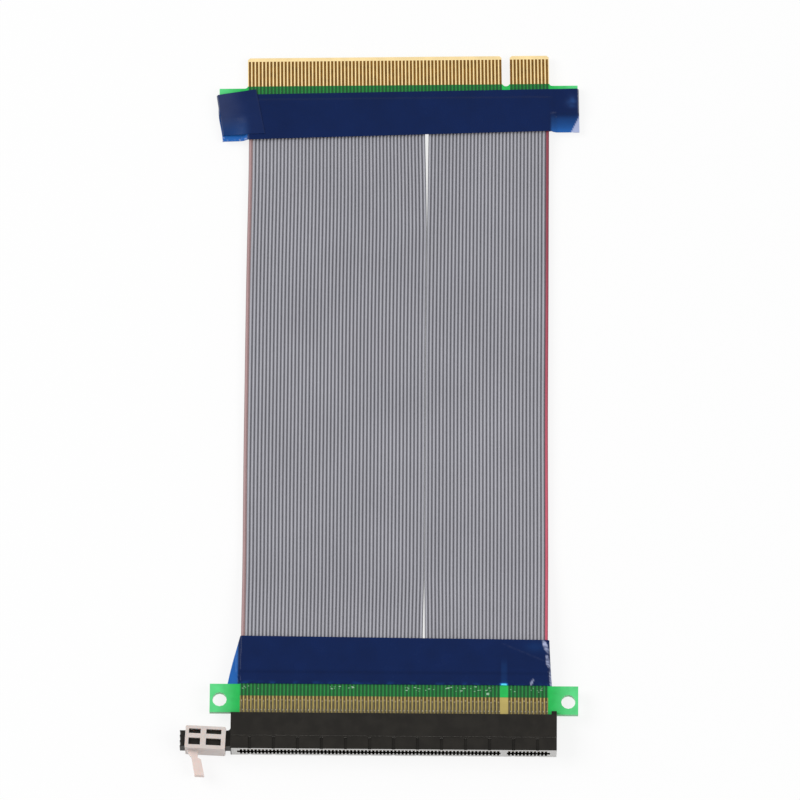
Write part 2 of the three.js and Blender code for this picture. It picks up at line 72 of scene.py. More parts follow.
# Contact rows, the same on both boards
PITCH = 1.0
LONG_ROW = 71
KEY_PITCHES = 2
SHORT_ROW = 11
ROW_POSITIONS = LONG_ROW + KEY_PITCHES + SHORT_ROW
ROW_START = -(ROW_POSITIONS - 1) / 2 * PITCH
KEY_X = ROW_START + (LONG_ROW + (KEY_PITCHES - 1) / 2) * PITCH
ROW_HALF = ROW_POSITIONS * PITCH / 2

# Boards, from the frame
slot_low, slot_high = box_mm("slot_board")
housing_low, _ = box_mm("slot_housing")
edge_low, edge_high = box_mm("edge_board")
EDGE_TURN = math.radians(1.0)
EDGE_BOARD_HALF = 50.0
SLOT_X = (slot_low.x + slot_high.x) / 2
SLOT_Y = housing_low.y
SLOT_ORIGIN = (SLOT_X * MM, SLOT_Y * MM, 0)
SLOT_PLANE = (slot_low.z + slot_high.z) / 2
EDGE_PLANE = (edge_low.z + edge_high.z) / 2
EDGE_Y = edge_low.y + EDGE_BOARD_HALF * math.sin(EDGE_TURN) - SLOT_Y
BOARD_HALF = (slot_high.z - slot_low.z) / 2
TAB_HALF = ROW_HALF + 0.05
HOUSING_BACK = slot_low.y - SLOT_Y
TONGUE_END = slot_high.y - SLOT_Y
TONGUE_LENGTH = 7.8
EAR_TOP = TONGUE_END - TONGUE_LENGTH
PAD_WINDOW = 4.7
PAD_TOP = HOUSING_BACK + PAD_WINDOW
MASK_HEIGHT = 0.088
PAD_HEIGHT = 0.05
COLLAR_HEIGHT = 6.6


def srgb(red, green, blue):
    """The linear colour of three display values from 0 to 255."""
    shares = (value / 255 for value in (red, green, blue))
    return tuple(v / 12.92 if v <= 0.04045 else ((v + 0.055) / 1.055) ** 2.4 for v in shares)


def opaque(colour):
    return (*colour, 1.0)


def colour_setting(name, description, *display):
    """A colour for the panel, from three display values from 0 to 255."""
    return FloatVectorProperty(
        name=name, description=description, subtype="COLOR", default=srgb(*display), min=0, max=1,
    )


# Finishes that keep their colour, and painted light and shade that keep theirs
# Painted reflection: light grey on the housing's black mating face.
LIT_FACE = srgb(156, 153, 148)
EAR_LAMINATE = srgb(120, 208, 146)
# Painted dark reflection: a dark brown for the pads' copper.
SHADED_PAD_COPPER = srgb(84, 68, 40)
TAIL_SOLDER = srgb(134, 124, 102)
# Painted highlight: near-white solder for the fillets beside the housing.
SOLDER_HIGHLIGHT = srgb(226, 224, 220)
FLUX_GREEN = srgb(104, 168, 120)
# Pale flux, partly its own colour and partly painted sheen.
FLUX_PALE_AND_SHEEN = srgb(176, 196, 180)


def smooth(value, low, high):
    """0 below low, 1 above high and a soft step between them, for numbers and arrays."""
    t = np.clip((value - low) / (high - low), 0.0, 1.0)
    return t * t * (3 - 2 * t)


def fade(value, low, high):
    """1 below low, 0 above high and a soft step between them."""
    return 1 - smooth(value, low, high)


def contact_places():
    in_key = range(LONG_ROW, LONG_ROW + KEY_PITCHES)
    return [ROW_START + i * PITCH for i in range(ROW_POSITIONS) if i not in in_key]


def slot_place(points):
    """Points of the slot's frame in the row frame, in metres."""
    return (np.asarray(points, dtype=float) + (SLOT_X, SLOT_Y, 0.0)) * MM


def edge_place(points):
    """Points of the card edge's frame in the row frame, in metres."""
    x, y, z = np.asarray(points, dtype=float).T
    turned_x = x * math.cos(EDGE_TURN) - y * math.sin(EDGE_TURN)
    turned_y = x * math.sin(EDGE_TURN) + y * math.cos(EDGE_TURN)
    return slot_place(np.stack([turned_x, turned_y + EDGE_Y, z + EDGE_PLANE], axis=1))


class RibbonProperties(bpy.types.PropertyGroup):
    insulation: colour_setting("Insulation", "Colour of the wires' crests", 180, 180, 188)
    # Painted shade: a darker colour on the wires' sides and between them, where the grooves are.
    groove_shade: colour_setting("Groove", "Colour between the wires", 80, 79, 86)
    marked_wire: colour_setting("Marked wire", "Colour of the red edge wire", 206, 92, 112)
    first_wire: colour_setting("First wire", "Colour of the faded edge wire", 178, 146, 146)
    wire_diameter: FloatProperty(
        name="Wire diameter", description="Diameter over the insulation", subtype="DISTANCE",
        default=0.9 * MM, min=0.5 * MM, max=0.95 * MM, unit="LENGTH",
    )
    lift: FloatProperty(
        name="Lift", description="Height of the soft waves along the ribbons",
        default=0.35 * MM, min=0, max=2 * MM, unit="LENGTH",
    )


class TapeProperties(bpy.types.PropertyGroup):
    film: colour_setting("Film", "Colour of the film over a board", 10, 31, 76)
    # The next three colours are painted light: light coming through the film, a glint over the notch, and a
    # pale sheen on creased and lifted film.
    backlit: colour_setting("Backlit film", "Colour where light comes through the film", 38, 98, 174)
    glint: colour_setting("Glint", "Colour of the film over an open notch", 90, 215, 250)
    pale_sheen: colour_setting("Haze", "Colour of creased and lifted film", 178, 186, 218)
    thickness: FloatProperty(
        name="Thickness", description="Thickness of the wound film",
        default=0.14 * MM, min=0.05 * MM, max=0.25 * MM, unit="LENGTH",
    )


class BoardProperties(bpy.types.PropertyGroup):
    laminate: colour_setting("Laminate", "Colour of the bare laminate", 240, 214, 156)
    # A darker copy of the laminate colour for the slot board, painted shade between its pads.
    laminate_in_shade: colour_setting(
        "Laminate at the pads", "Colour of the laminate between the slot's pads", 196, 176, 98,
    )
    mask: colour_setting("Solder mask", "Colour of the mask between traces", 28, 128, 56)
    trace: colour_setting("Traces", "Colour of the mask over copper", 12, 80, 38)
    ear: colour_setting("Ears", "Colour of the mask over bare laminate", 92, 214, 132)
    near: colour_setting(
        "Beside the rows", "Colour of the mask over bare laminate near the contacts", 34, 184, 84,
    )
    gold: colour_setting("Fingers", "Colour of the gold-plated fingers", 116, 80, 27)
    tin: colour_setting("Tinned metal", "Colour of the slot's contacts and the solder", 194, 180, 144)


class MouldingProperties(bpy.types.PropertyGroup):
    housing: colour_setting("Housing", "Colour of the slot housing", 30, 28, 25)
    latch: colour_setting("Latch", "Colour of the retention latch", 208, 197, 192)
    # Lighter than the latch: painted light coming through the thin lever.
    lever: colour_setting("Lever", "Colour of the latch's thin lever", 224, 206, 199)
    edge_radius: FloatProperty(
        name="Edge radius", description="Rounding of moulded edges",
        default=0.07 * MM, min=0, max=0.3 * MM, unit="LENGTH",
    )


class StageProperties(bpy.types.PropertyGroup):
    lens: FloatProperty(
        name="Lens", description="Focal length of the camera, in millimetres", default=360, min=50, max=800,
    )
    tilt: FloatProperty(
        name="Tilt", description="Lean of the camera from straight above", subtype="ANGLE",
        default=math.radians(16.9), unit="ROTATION",
    )
    turn: FloatProperty(
        name="Turn", description="Turn of the camera about the upright axis", subtype="ANGLE",
        default=math.radians(0.4523), unit="ROTATION",
    )
    distance: FloatProperty(
        name="Distance", description="From the camera to the point it looks at", default=2.207, unit="LENGTH",
    )
    world_level: FloatProperty(
        name="World", description="Level of the even light from all round", default=0.5, min=0, max=2,
    )
    lamp_level: FloatProperty(
        name="Lamps", description="Share of the two soft lamps", default=1.0, min=0, max=3,
    )


class Graph:
    """Short calls for a node tree's nodes and links."""

    def __init__(self, tree):
        self.tree = tree

    def feed(self, socket, value):
        if isinstance(value, bpy.types.NodeSocket):
            self.tree.links.new(value, socket)
        else:
            socket.default_value = value

    def node(self, kind, inputs=None, **settings):
        node = self.tree.nodes.new(kind)
        for key, value in settings.items():
            setattr(node, key, value)
        for key, value in (inputs or {}).items():
            self.feed(node.inputs[key], value)
        return node

    def math(self, operation, a, b=0.0):
        return self.node("ShaderNodeMath", {0: a, 1: b}, operation=operation).outputs[0]

    def step(self, value, low, high):
        """0 below low, 1 above high and a soft step between them."""
        inputs = {"Value": value, "From Min": low, "From Max": high}
        return self.node("ShaderNodeMapRange", inputs, interpolation_type="SMOOTHSTEP").outputs[0]

    def band(self, value, low, high, soft):
        """1 between low and high, with soft sides outside them."""
        rise = self.step(value, low - soft, low)
        fall = self.step(value, high, high + soft)
        return self.math("MULTIPLY", rise, self.math("SUBTRACT", 1.0, fall))

    def mix(self, factor, a, b):
        node = self.node("ShaderNodeMix", data_type="RGBA")
        for index, value in ((0, factor), (6, a), (7, b)):
            self.feed(node.inputs[index], value)
        return node.outputs[2]

    def span(self, value, low, high):
        """Takes a value from 0 to 1 to the range from low to high."""
        inputs = {"Value": value, "To Min": low, "To Max": high}
        return self.node("ShaderNodeMapRange", inputs).outputs[0]

    def scaled(self, colour, factor):
        """A colour times a factor, to shade it."""
        return self.node("ShaderNodeVectorMath", {0: colour, "Scale": factor}, operation="SCALE").outputs[0]

    def surface(self, shader, colour, roughness, normal):
        """Feeds the three sockets that every finish here sets."""
        for socket, value in (("Base Color", colour), ("Roughness", roughness), ("Normal", normal)):
            self.feed(shader.inputs[socket], value)

    def attribute(self, name):
        return self.node("ShaderNodeAttribute", attribute_name=name).outputs["Fac"]

    def places(self, origin, turn=0.0):
        """Object coordinates in millimetres from an origin in the row frame, as x, y and z."""
        coordinates = self.node("ShaderNodeTexCoord").outputs["Object"]
        inputs = {
            "Vector": coordinates, "Location": origin, "Rotation": (0, 0, turn), "Scale": (MM, MM, MM),
        }
        mapping = self.node("ShaderNodeMapping", inputs, vector_type="TEXTURE")
        return mapping.outputs[0], self.node("ShaderNodeSeparateXYZ", {0: mapping.outputs[0]}).outputs

    def noise(self, vector, scale, detail=2.0, roughness=0.5):
        inputs = {"Vector": vector, "Scale": scale, "Detail": detail, "Roughness": roughness}
        return self.node("ShaderNodeTexNoise", inputs).outputs["Fac"]

    def bump(self, height, strength, distance):
        inputs = {"Height": height, "Strength": strength, "Distance": distance * MM}
        return self.node("ShaderNodeBump", inputs).outputs[0]

    def group(self, tree, inputs):
        node = self.node("ShaderNodeGroup")
        node.node_tree = tree
        for key, value in inputs.items():
            self.feed(node.inputs[key], value)
        return node.outputs


def new_material(name, **constants):
    """A material with one Principled shader. Its constants are set on the shader's own sockets."""
    material = bpy.data.materials.new(name)
    material.use_nodes = True
    graph = Graph(material.node_tree)
    graph.tree.nodes.clear()
    output = graph.node("ShaderNodeOutputMaterial")
    shader = graph.node("ShaderNodeBsdfPrincipled")
    graph.feed(output.inputs["Surface"], shader.outputs[0])
    for key, value in constants.items():
        graph.feed(shader.inputs[key.replace("_", " ")], value)
    return material, graph, shader


def new_group(name, inputs, outputs):
    """An empty node group, and its sides: the sockets to read from and the node to write to."""
    tree = bpy.data.node_groups.new(name, "ShaderNodeTree")
    for label, kind in inputs.items():
        tree.interface.new_socket(label, in_out="INPUT", socket_type=kind)
    for label, kind in outputs.items():
        tree.interface.new_socket(label, in_out="OUTPUT", socket_type=kind)
    graph = Graph(tree)
    given = graph.node("NodeGroupInput").outputs
    made = graph.node("NodeGroupOutput").inputs
    return tree, graph, given, made


def trace_group():
    """Stripes at the contact pitch, with none beyond the rows or at the key."""
    found = bpy.data.node_groups.get("trace_stripes")
    if found:
        return found
    inputs = {"Across": "NodeSocketFloat", "Share": "NodeSocketFloat"}
    tree, graph, given, made = new_group("trace_stripes", inputs, {"Mask": "NodeSocketFloat"})
    shifted = graph.math("SUBTRACT", given["Across"], ROW_START)
    wave = graph.math("PINGPONG", graph.math("DIVIDE", shifted, PITCH), 0.5)
    low = graph.math("SUBTRACT", graph.math("MULTIPLY", given["Share"], 0.5), 0.04)
    high = graph.math("ADD", low, 0.08)
    stripe = graph.math("SUBTRACT", 1.0, graph.step(wave, low, high))
    in_rows = graph.band(given["Across"], -ROW_HALF, ROW_HALF, 0.1)
    at_key = graph.band(given["Across"], KEY_X - PITCH, KEY_X + PITCH, 0.1)
    kept = graph.math("MULTIPLY", in_rows, graph.math("SUBTRACT", 1.0, at_key))
    graph.feed(made["Mask"], graph.math("MULTIPLY", stripe, kept))
    return tree


def grain_group():
    """Uneven grain of moulded plastic, film and insulation, as a height and a slow patchy mask."""
    found = bpy.data.node_groups.get("surface_grain")
    if found:
        return found
    inputs = {"Vector": "NodeSocketVector", "Fine": "NodeSocketFloat", "Broad": "NodeSocketFloat"}
    outputs = {"Height": "NodeSocketFloat", "Patches": "NodeSocketFloat"}
    tree, graph, given, made = new_group("surface_grain", inputs, outputs)
    graph.feed(made["Height"], graph.noise(given["Vector"], given["Fine"], 4.0, 0.6))
    graph.feed(made["Patches"], graph.noise(given["Vector"], given["Broad"], 3.0))
    return tree


def grain(graph, fine, broad):
    vector, _ = graph.places((0, 0, 0))
    return graph.group(grain_group(), {"Vector": vector, "Fine": fine, "Broad": broad})


def laminate_material(name, colour, glow, ear_tint=None):
    """Woven glass laminate, seen through its resin. Beyond the rows it can take the mask's tint. glow sets a
    painted backlight: the laminate emits its own colour.
    """
    material, graph, shader = new_material(name)
    vector, (x, y, _) = graph.places(SLOT_ORIGIN)
    weave_x = graph.math("PINGPONG", graph.math("MULTIPLY", x, 1.7), 0.5)
    weave_y = graph.math("PINGPONG", graph.math("MULTIPLY", y, 1.7), 0.5)
    weave = graph.math("ADD", weave_x, weave_y)
    patches = graph.noise(vector, 0.35, 2.0)
    shade = graph.math("ADD", graph.math("MULTIPLY", weave, 0.12), graph.math("MULTIPLY", patches, 0.5))
    dark = tuple(channel * 0.8 for channel in colour)
    colour_out = graph.mix(graph.step(shade, 0.1, 0.6), opaque(dark), opaque(colour))
    if ear_tint:
        beyond = graph.step(graph.math("ABSOLUTE", x), TAB_HALF, TAB_HALF + 0.5)
        colour_out = graph.mix(beyond, colour_out, opaque(ear_tint))
    # Painted backlight: the laminate emits its own colour at the glow's strength.
    graph.feed(shader.inputs["Emission Color"], colour_out)
    graph.feed(shader.inputs["Emission Strength"], glow)
    graph.surface(shader, colour_out, 0.4, graph.bump(weave, 0.3, 0.02))
    return material


def mask_material(name, settings, origin, turn, ear_share):
    """Green solder mask: pale over bare laminate, dark and raised over each trace."""
    material, graph, shader = new_material(
        name, Specular_IOR_Level=0.22, Coat_Weight=0.06, Coat_Roughness=0.1,
    )
    vector, (x, y, _) = graph.places(origin, turn)
    stripe = graph.group(trace_group(), {"Across": x, "Share": 0.62})["Mask"]
    away = graph.math("ABSOLUTE", x)
    outside = graph.step(away, TAB_HALF - 0.5, TAB_HALF + 0.3)
    near_key = graph.band(x, KEY_X - PITCH, KEY_X + PITCH, 0.25)
    pale = graph.math("MAXIMUM", outside, near_key)
    towards_ear = graph.step(away, TAB_HALF, TAB_HALF + ear_share)
    ear = graph.mix(towards_ear, opaque(settings.near), opaque(settings.ear))
    patches = graph.noise(vector, 0.5, 3.0)
    tint = graph.span(patches, 0.78, 1.15)
    mask = graph.mix(pale, opaque(settings.mask), ear)
    colour = graph.mix(stripe, mask, opaque(settings.trace))
    rough = graph.span(graph.noise(vector, 2.0, 3.0), 0.22, 0.42)
    height = graph.math("ADD", stripe, graph.math("MULTIPLY", graph.noise(vector, 3.0, 3.0), 0.4))
    graph.surface(shader, graph.scaled(colour, tint), rough, graph.bump(height, 0.5, 0.04))
    return material


def metal_material(name, colour, rough, fine, metallic=1.0, outside_shade_share=1.0):
    """Plated metal, with brushed streaks along the contacts and a slow change of tone across them.
    Its last argument darkens it outside the slot housing, a painted shade."""
    material, graph, shader = new_material(name, Metallic=metallic)
    vector, (x, y, _) = graph.places(SLOT_ORIGIN)
    stretched = graph.node("ShaderNodeCombineXYZ", {0: graph.math("MULTIPLY", x, 6.0), 1: y}).outputs[0]
    streaks = graph.noise(stretched, fine, 4.0, 0.6)
    tone = graph.noise(vector, 0.6, 3.0)
    light = tuple(min(1.0, channel * 1.3) for channel in colour)
    dark = tuple(channel * 0.68 for channel in colour)
    mixed = graph.math("ADD", graph.math("MULTIPLY", streaks, 0.45), graph.math("MULTIPLY", tone, 0.55))
    colour_out = graph.mix(graph.step(mixed, 0.3, 0.7), opaque(dark), opaque(light))
    # Painted shade: the metal's colour is darkened outside the slot housing.
    painted_shade_outside = graph.span(graph.step(y, HOUSING_BACK - 2.0, HOUSING_BACK - 1.0), 1.0, outside_shade_share)
    roughness = graph.span(streaks, rough - 0.08, rough + 0.12)
    graph.surface(shader, graph.scaled(colour_out, painted_shade_outside), roughness, graph.bump(streaks, 0.25, 0.02))
    return material


def insulation_material(name, crest, groove_shade, far_share=1.0):
    """Soft insulation, with painted shade: the crest colour on each wire's crest and the darker groove colour
    in the groove beside it. far_share darkens it towards the card edge."""
    material, graph, shader = new_material(name, Specular_IOR_Level=0.25)
    sides = grain(graph, 6.0, 0.05)
    # Painted shade: the groove attribute mixes the darker groove colour into each wire's sides.
    colour = graph.mix(graph.attribute("groove_shade"), opaque(crest), opaque(groove_shade))
    _, (_, y, _) = graph.places(SLOT_ORIGIN)
    along = graph.span(graph.step(y, TONGUE_END + 30, EDGE_Y - 20), 1.0, far_share)
    tint = graph.math("MULTIPLY", along, graph.span(sides["Patches"], 0.88, 1.12))
    rough = graph.span(sides["Height"], 0.38, 0.55)
    graph.surface(shader, graph.scaled(colour, tint), rough, graph.bump(sides["Height"], 0.15, 0.02))
    return material


def film_material(settings):
    """Glossy blue film: navy over a board, with painted backlight beside it, a painted glint over the open
    notch, and a pale painted sheen where it is creased and lifted.
    """
    material, graph, shader = new_material(
        "tape_film", Specular_IOR_Level=0.08, Coat_Weight=0.02, Coat_Roughness=0.05,
    )
    sides = grain(graph, 2.2, 0.16)
    # Painted backlight: the through attribute lightens the film, and past 1.1 it turns the film to the glint
    # colour.
    through = graph.attribute("through")
    lit = graph.mix(graph.step(through, 0.0, 0.8), opaque(settings.film), opaque(settings.backlit))
    colour = graph.mix(graph.step(through, 1.1, 1.6), lit, opaque(settings.glint))
    # Painted sheen: a pale colour on creased and lifted film.
    with_sheen = graph.mix(graph.attribute("pale_sheen"), colour, opaque(settings.pale_sheen))
    tinted = graph.scaled(with_sheen, graph.span(sides["Patches"], 0.82, 1.18))
    rough = graph.span(sides["Patches"], 0.14, 0.36)
    height = graph.math("ADD", sides["Height"], graph.math("MULTIPLY", sides["Patches"], 2.0))
    graph.surface(shader, tinted, rough, graph.bump(height, 0.35, 0.05))
    return material


def housing_material(settings):
    """Black moulding with a fine grain. The mating face and its edges are smoother than the sides, and their
    black is painted light grey, a painted reflection.
    """
    material, graph, shader = new_material(
        "black_moulding", Specular_IOR_Level=0.12, Coat_IOR=2.4, Coat_Roughness=0.04,
    )
    sides = grain(graph, 9.0, 0.3)
    normal = graph.node("ShaderNodeTexCoord").outputs["Normal"]
    facing = graph.node("ShaderNodeSeparateXYZ", {0: normal}).outputs[1]
    _, (x, _, _) = graph.places(SLOT_ORIGIN)
    on_body = graph.step(x, -ROW_HALF - 2.3, -ROW_HALF - 2.0)
    mating = graph.math("MULTIPLY", on_body, graph.step(graph.math("MULTIPLY", facing, -1.0), 0.5, 0.95))
    light = tuple(channel * 1.4 for channel in settings.housing)
    colour = graph.mix(graph.step(sides["Patches"], 0.35, 0.7), opaque(settings.housing), opaque(light))
    # Painted reflection: the mating face's black is mixed towards light grey.
    mating_face_reflection = graph.mix(mating, colour, opaque(LIT_FACE))
    rough = graph.span(sides["Height"], 0.34, 0.6)
    graph.surface(shader, mating_face_reflection, rough, graph.bump(sides["Height"], 0.3, 0.03))
    graph.feed(shader.inputs["Coat Weight"], mating)
    return material


def latch_material(settings):
    """Off-white moulding. The lever is thinner, and its lighter colour is painted light coming through it."""
    material, graph, shader = new_material(
        "latch_moulding", Subsurface_Weight=0.25, Subsurface_Scale=0.001,
        Subsurface_Radius=(1.0, 0.6, 0.45), Specular_IOR_Level=0.4,
    )
    sides = grain(graph, 5.0, 0.5)
    low, high = box_mm("retention_latch")
    collar_foot = high.y - COLLAR_HEIGHT
    _, (_, y, _) = graph.places((0, 0, 0))
    on_lever = graph.math("SUBTRACT", 1.0, graph.step(y, collar_foot - 0.6, collar_foot))
    # Painted light: the lever takes the lighter lever colour.
    body = graph.mix(on_lever, opaque(settings.latch), opaque(settings.lever))
    tinted = graph.scaled(body, graph.span(sides["Patches"], 0.9, 1.06))
    rough = graph.span(sides["Height"], 0.35, 0.5)
    graph.surface(shader, tinted, rough, graph.bump(sides["Height"], 0.2, 0.03))
    return material


def flux_material():
    """Dried flux: a clear pale resin with a broken gloss. Its pale patches are partly the resin's colour and
    partly painted sheen.
    """
    material, graph, shader = new_material(
        "flux_resin", Specular_IOR_Level=0.3, Coat_Weight=0.2, Coat_Roughness=0.1,
    )
    sides = grain(graph, 7.0, 1.5)
    # Pale patches: partly the resin's colour, partly painted sheen.
    colour = graph.mix(sides["Patches"], opaque(FLUX_GREEN), opaque(FLUX_PALE_AND_SHEEN))
    rough = graph.span(sides["Height"], 0.2, 0.5)
    graph.surface(shader, colour, rough, graph.bump(sides["Height"], 0.5, 0.03))
    return material


def add_piece(name, points, faces, materials, face_materials=None, values=None, sharp=35.0):
    """A mesh piece that rides on the cable, from points in metres in the row frame."""
    mesh = bpy.data.meshes.new(name)
    mesh.from_pydata(np.asarray(points).tolist(), [], faces)
    for material in materials:
        mesh.materials.append(material)
    if face_materials is not None:
        mesh.polygons.foreach_set("material_index", face_materials)
    for label, numbers in (values or {}).items():
        mesh.attributes.new(label, "FLOAT", "POINT").data.foreach_set("value", numbers)
    mesh.shade_smooth()
    mesh.set_sharp_from_angle(angle=math.radians(sharp))
    mesh.validate()
    piece = bpy.data.objects.new(name, mesh)
    bpy.context.scene.collection.objects.link(piece)
    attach(piece, "cable")
    return piece


def tube_faces(rings, around):
    """Quads round a tube of so many rings of so many points, seen from outside."""
    faces = []
    for r in range(rings - 1):
        for k in range(around):
            a, b = r * around + k, r * around + (k + 1) % around
            faces.append((a, b, b + around, a + around))
    return faces


def give_material(node, material):
    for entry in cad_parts[node].material_slots:
        entry.material = material


def round_edges(node, radius):
    """Rounds the edges of a carried-over solid with modifiers, so that its mesh stays as it is."""
    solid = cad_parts[node]
    weld = solid.modifiers.new("join_faces", "WELD")
    weld.merge_threshold = 0.001 * MM
    bevel = solid.modifiers.new("soft_edges", "BEVEL")
    bevel.width = radius
    bevel.segments = 2
    bevel.limit_method = "ANGLE"
    bevel.angle_limit = math.radians(30)
    bevel.use_clamp_overlap = True
    bevel.harden_normals = False


# Ribbons: route and section. The two edge wires have the second and the third of the ribbons' materials
EDGE_WIRES = {0: 1, ROW_POSITIONS - 1: 2}
WEB_HALF = 0.2
LAYER_HALF = 0.5
REST_HEIGHT = 0.95
AT_BOARD_HALF = 0.95
WIDE_WIRES = 50
RIBBON_STATIONS = 96
RIBBON_MOUTH = 6
RIBBON_FALL_END = 37
RIBBON_RISE_START = 18
RIBBON_END_GAP = 0.25
CREST_ANGLES = (-62, -34, 0, 34, 62)
# Painted shade for each point of a wire's section: none on the crest, nearly full towards the grooves.
CREST_GROOVE_SHADE = (0.96, 0.5, 0.0, 0.5, 0.96)
SPLIT_EDGES = {
    # Place along the ribbons in millimetres, then the two edges that face each other across the split
    "y": (TONGUE_END + 4.6, TONGUE_END + 14, TONGUE_END + 23, EDGE_Y - 34, EDGE_Y - 20, EDGE_Y - 7),
    "left": (7.68, 7.80, 7.96, 7.96, 7.66, 7.30),
    "right": (8.34, 8.20, 8.02, 8.02, 8.14, 8.27),
}
SPLIT_X = ROW_START + (WIDE_WIRES - 0.5) * PITCH


def ribbon_middle(y):
    """Height of the middle between the two layers along the ribbons."""
    down = smooth(y, TONGUE_END + RIBBON_MOUTH, TONGUE_END + RIBBON_FALL_END)
    up = smooth(y, EDGE_Y - RIBBON_RISE_START, EDGE_Y - RIBBON_MOUTH)
    return SLOT_PLANE + (REST_HEIGHT - SLOT_PLANE) * down + (EDGE_PLANE - REST_HEIGHT) * up


def ribbon_spread(y):
    """Half the distance between the middles of the two layers."""
    near_slot = fade(y, TONGUE_END, TONGUE_END + RIBBON_MOUTH)
    near_edge = smooth(y, EDGE_Y - RIBBON_MOUTH, EDGE_Y)
    return LAYER_HALF + (AT_BOARD_HALF - LAYER_HALF) * np.maximum(near_slot, near_edge)


def ribbon_lift(x, y, height):
    """Soft waves across and along the ribbons. They only rise, so that the lower layer stays on the table."""
    free = smooth(y, TONGUE_END + 12, TONGUE_END + 40) * fade(y, EDGE_Y - 30, EDGE_Y - 10)
    long_wave = 0.5 - 0.5 * np.cos((y - TONGUE_END) / 21.0 + 0.012 * x)
    cross_wave = 0.5 + 0.5 * np.sin(x / 9.5 + y / 34.0)
    return height * free * (0.75 * long_wave + 0.25 * cross_wave)


def ribbon_sway(x, y):
    """Small sideways drift of the wires, as slit insulation has."""
    free = smooth(y, TONGUE_END + 5, TONGUE_END + 30) * fade(y, EDGE_Y - 30, EDGE_Y - 8)
    drift = 0.08 * np.sin(y / 27.0 + 0.6) + 0.03 * np.sin(y / 11.0 + x / 17.0)
    gathered = smooth(y, EDGE_Y - 70, EDGE_Y - 8) * (0.1 - 0.12 * x / ROW_HALF)
    return free * drift + gathered


def ribbon_section(first, last, radius):
    """Upper half of a ribbon's section: x, height, painted groove shade from 0 to 1, and the wire of each
    point.
    """
    rows = []
    for wire in range(first, last):
        x = ROW_START + wire * PITCH
        if wire == first:
            rows.append((x - radius, 0.0, 1.0, wire))
        for angle, groove_shade_amount in zip(CREST_ANGLES, CREST_GROOVE_SHADE):
            turn = math.radians(angle)
            rows.append((x + radius * math.sin(turn), radius * math.cos(turn), groove_shade_amount, wire))
        if wire == last - 1:
            rows.append((x + radius, 0.0, 1.0, wire))
        else:
            rows.append((x + PITCH / 2, WEB_HALF, 1.0, wire))
    return rows


def build_ribbon(name, first, last, face, settings, materials):
    radius = settings.wire_diameter / MM / 2
    section = ribbon_section(first, last, radius)
    upper = len(section)
    ring = section + [(x, -z, groove_shade_amount, wire) for x, z, groove_shade_amount, wire in section[-2:0:-1]]
    around = len(ring)
    x, z, groove_shade_amount, wire = (np.array(column) for column in zip(*ring))
    low, high = TONGUE_END + RIBBON_END_GAP, EDGE_Y - RIBBON_END_GAP
    stations = np.linspace(low, high, RIBBON_STATIONS)
    outer_x = ROW_START + (first if first == 0 else last - 1) * PITCH
    rings = []
    for y in stations:
        side = "left" if first == 0 else "right"
        edge = np.interp(y, SPLIT_EDGES["y"], SPLIT_EDGES[side])
        home = SPLIT_X + (-1 if first == 0 else 1) * (PITCH / 2 - radius)
        share = (x - outer_x) / (SPLIT_X - outer_x)
        placed_x = x + (edge - home) * np.clip(share, 0, 1) ** 2 + ribbon_sway(x, y)
        slant = math.tan(EDGE_TURN) * smooth(y, EDGE_Y - 14, EDGE_Y)
        placed_y = y + placed_x * slant
        height = ribbon_middle(y) + face * (ribbon_spread(y) + z)
        rings.append(np.stack([placed_x, placed_y, height + ribbon_lift(x, y, settings.lift / MM)], axis=1))
    points = slot_place(np.concatenate(rings))
    faces = tube_faces(RIBBON_STATIONS, around)
    wires = [int(wire[k]) for _ in range(RIBBON_STATIONS - 1) for k in range(around)]
    for start in (0, (RIBBON_STATIONS - 1) * around):
        for k in range(upper - 1):
            below = [start + (around - k) % around, start + (around - k - 1) % around]
            faces.append((start + k, start + k + 1, below[1], below[0]) if k else
                         (start, start + 1, below[1]))
            wires.append(int(wire[k]))
    if face < 0:
        faces = [tuple(reversed(f)) for f in faces]
    face_materials = [EDGE_WIRES.get(w, 0) for w in wires]
    # Painted groove shade for each point, read by the insulation's material.
    values = {"groove_shade": np.tile(groove_shade_amount, RIBBON_STATIONS)}
    piece = add_piece(name, points, faces, materials, face_materials, values, 80.0)
    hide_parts(name.removeprefix("wired_"))


# Tapes
FILM_STEP = 0.35
PRESSED_HALF = 0.2
BOARD_COVER = 1.14
HUMP_COVER = 1.72
FILM_RELIEF = 0.05
UPPER_HALF = EDGE_BOARD_HALF + 0.32
FLAP_FOOT = 0.95
FLAP_LIFT = 0.12
FLAP_HUMP_LIFT = 0.14


def film_grid(left, right, foot, head):
    """Rows of [x, y] over an outline. left and right give x for a share up the tape, foot and head give
    y for a share across it."""
    across = int((right(0.5) - left(0.5)) / FILM_STEP) + 1
    up = int((head(0.5) - foot(0.5)) / FILM_STEP) + 1
    v, u = np.meshgrid(np.linspace(0, 1, up), np.linspace(0, 1, across), indexing="ij")
    x = left(v) + (right(v) - left(v)) * u
    y = foot(u) + (head(u) - foot(u)) * v
    return x, y


def ripple(x, y, seed, scale=0.28):
    """Slow uneven relief of a film pressed on by hand, from -1 to 1."""
    flat = [noise.noise((a * scale, b * scale * 1.6, seed)) for a, b in zip(x.ravel(), y.ravel())]
    return np.array(flat).reshape(x.shape)


def crease(x, y, start, end, width):
    """1 on a straight crease, falling to 0 beside it and beyond its ends."""
    along = np.array(end, dtype=float) - start
    length = np.hypot(*along)
    t = ((x - start[0]) * along[0] + (y - start[1]) * along[1]) / length**2
    away = np.abs((x - start[0]) * along[1] - (y - start[1]) * along[0]) / length
    return np.exp(-((away / width) ** 2)) * smooth(t, -0.05, 0.08) * fade(t, 0.92, 1.05)


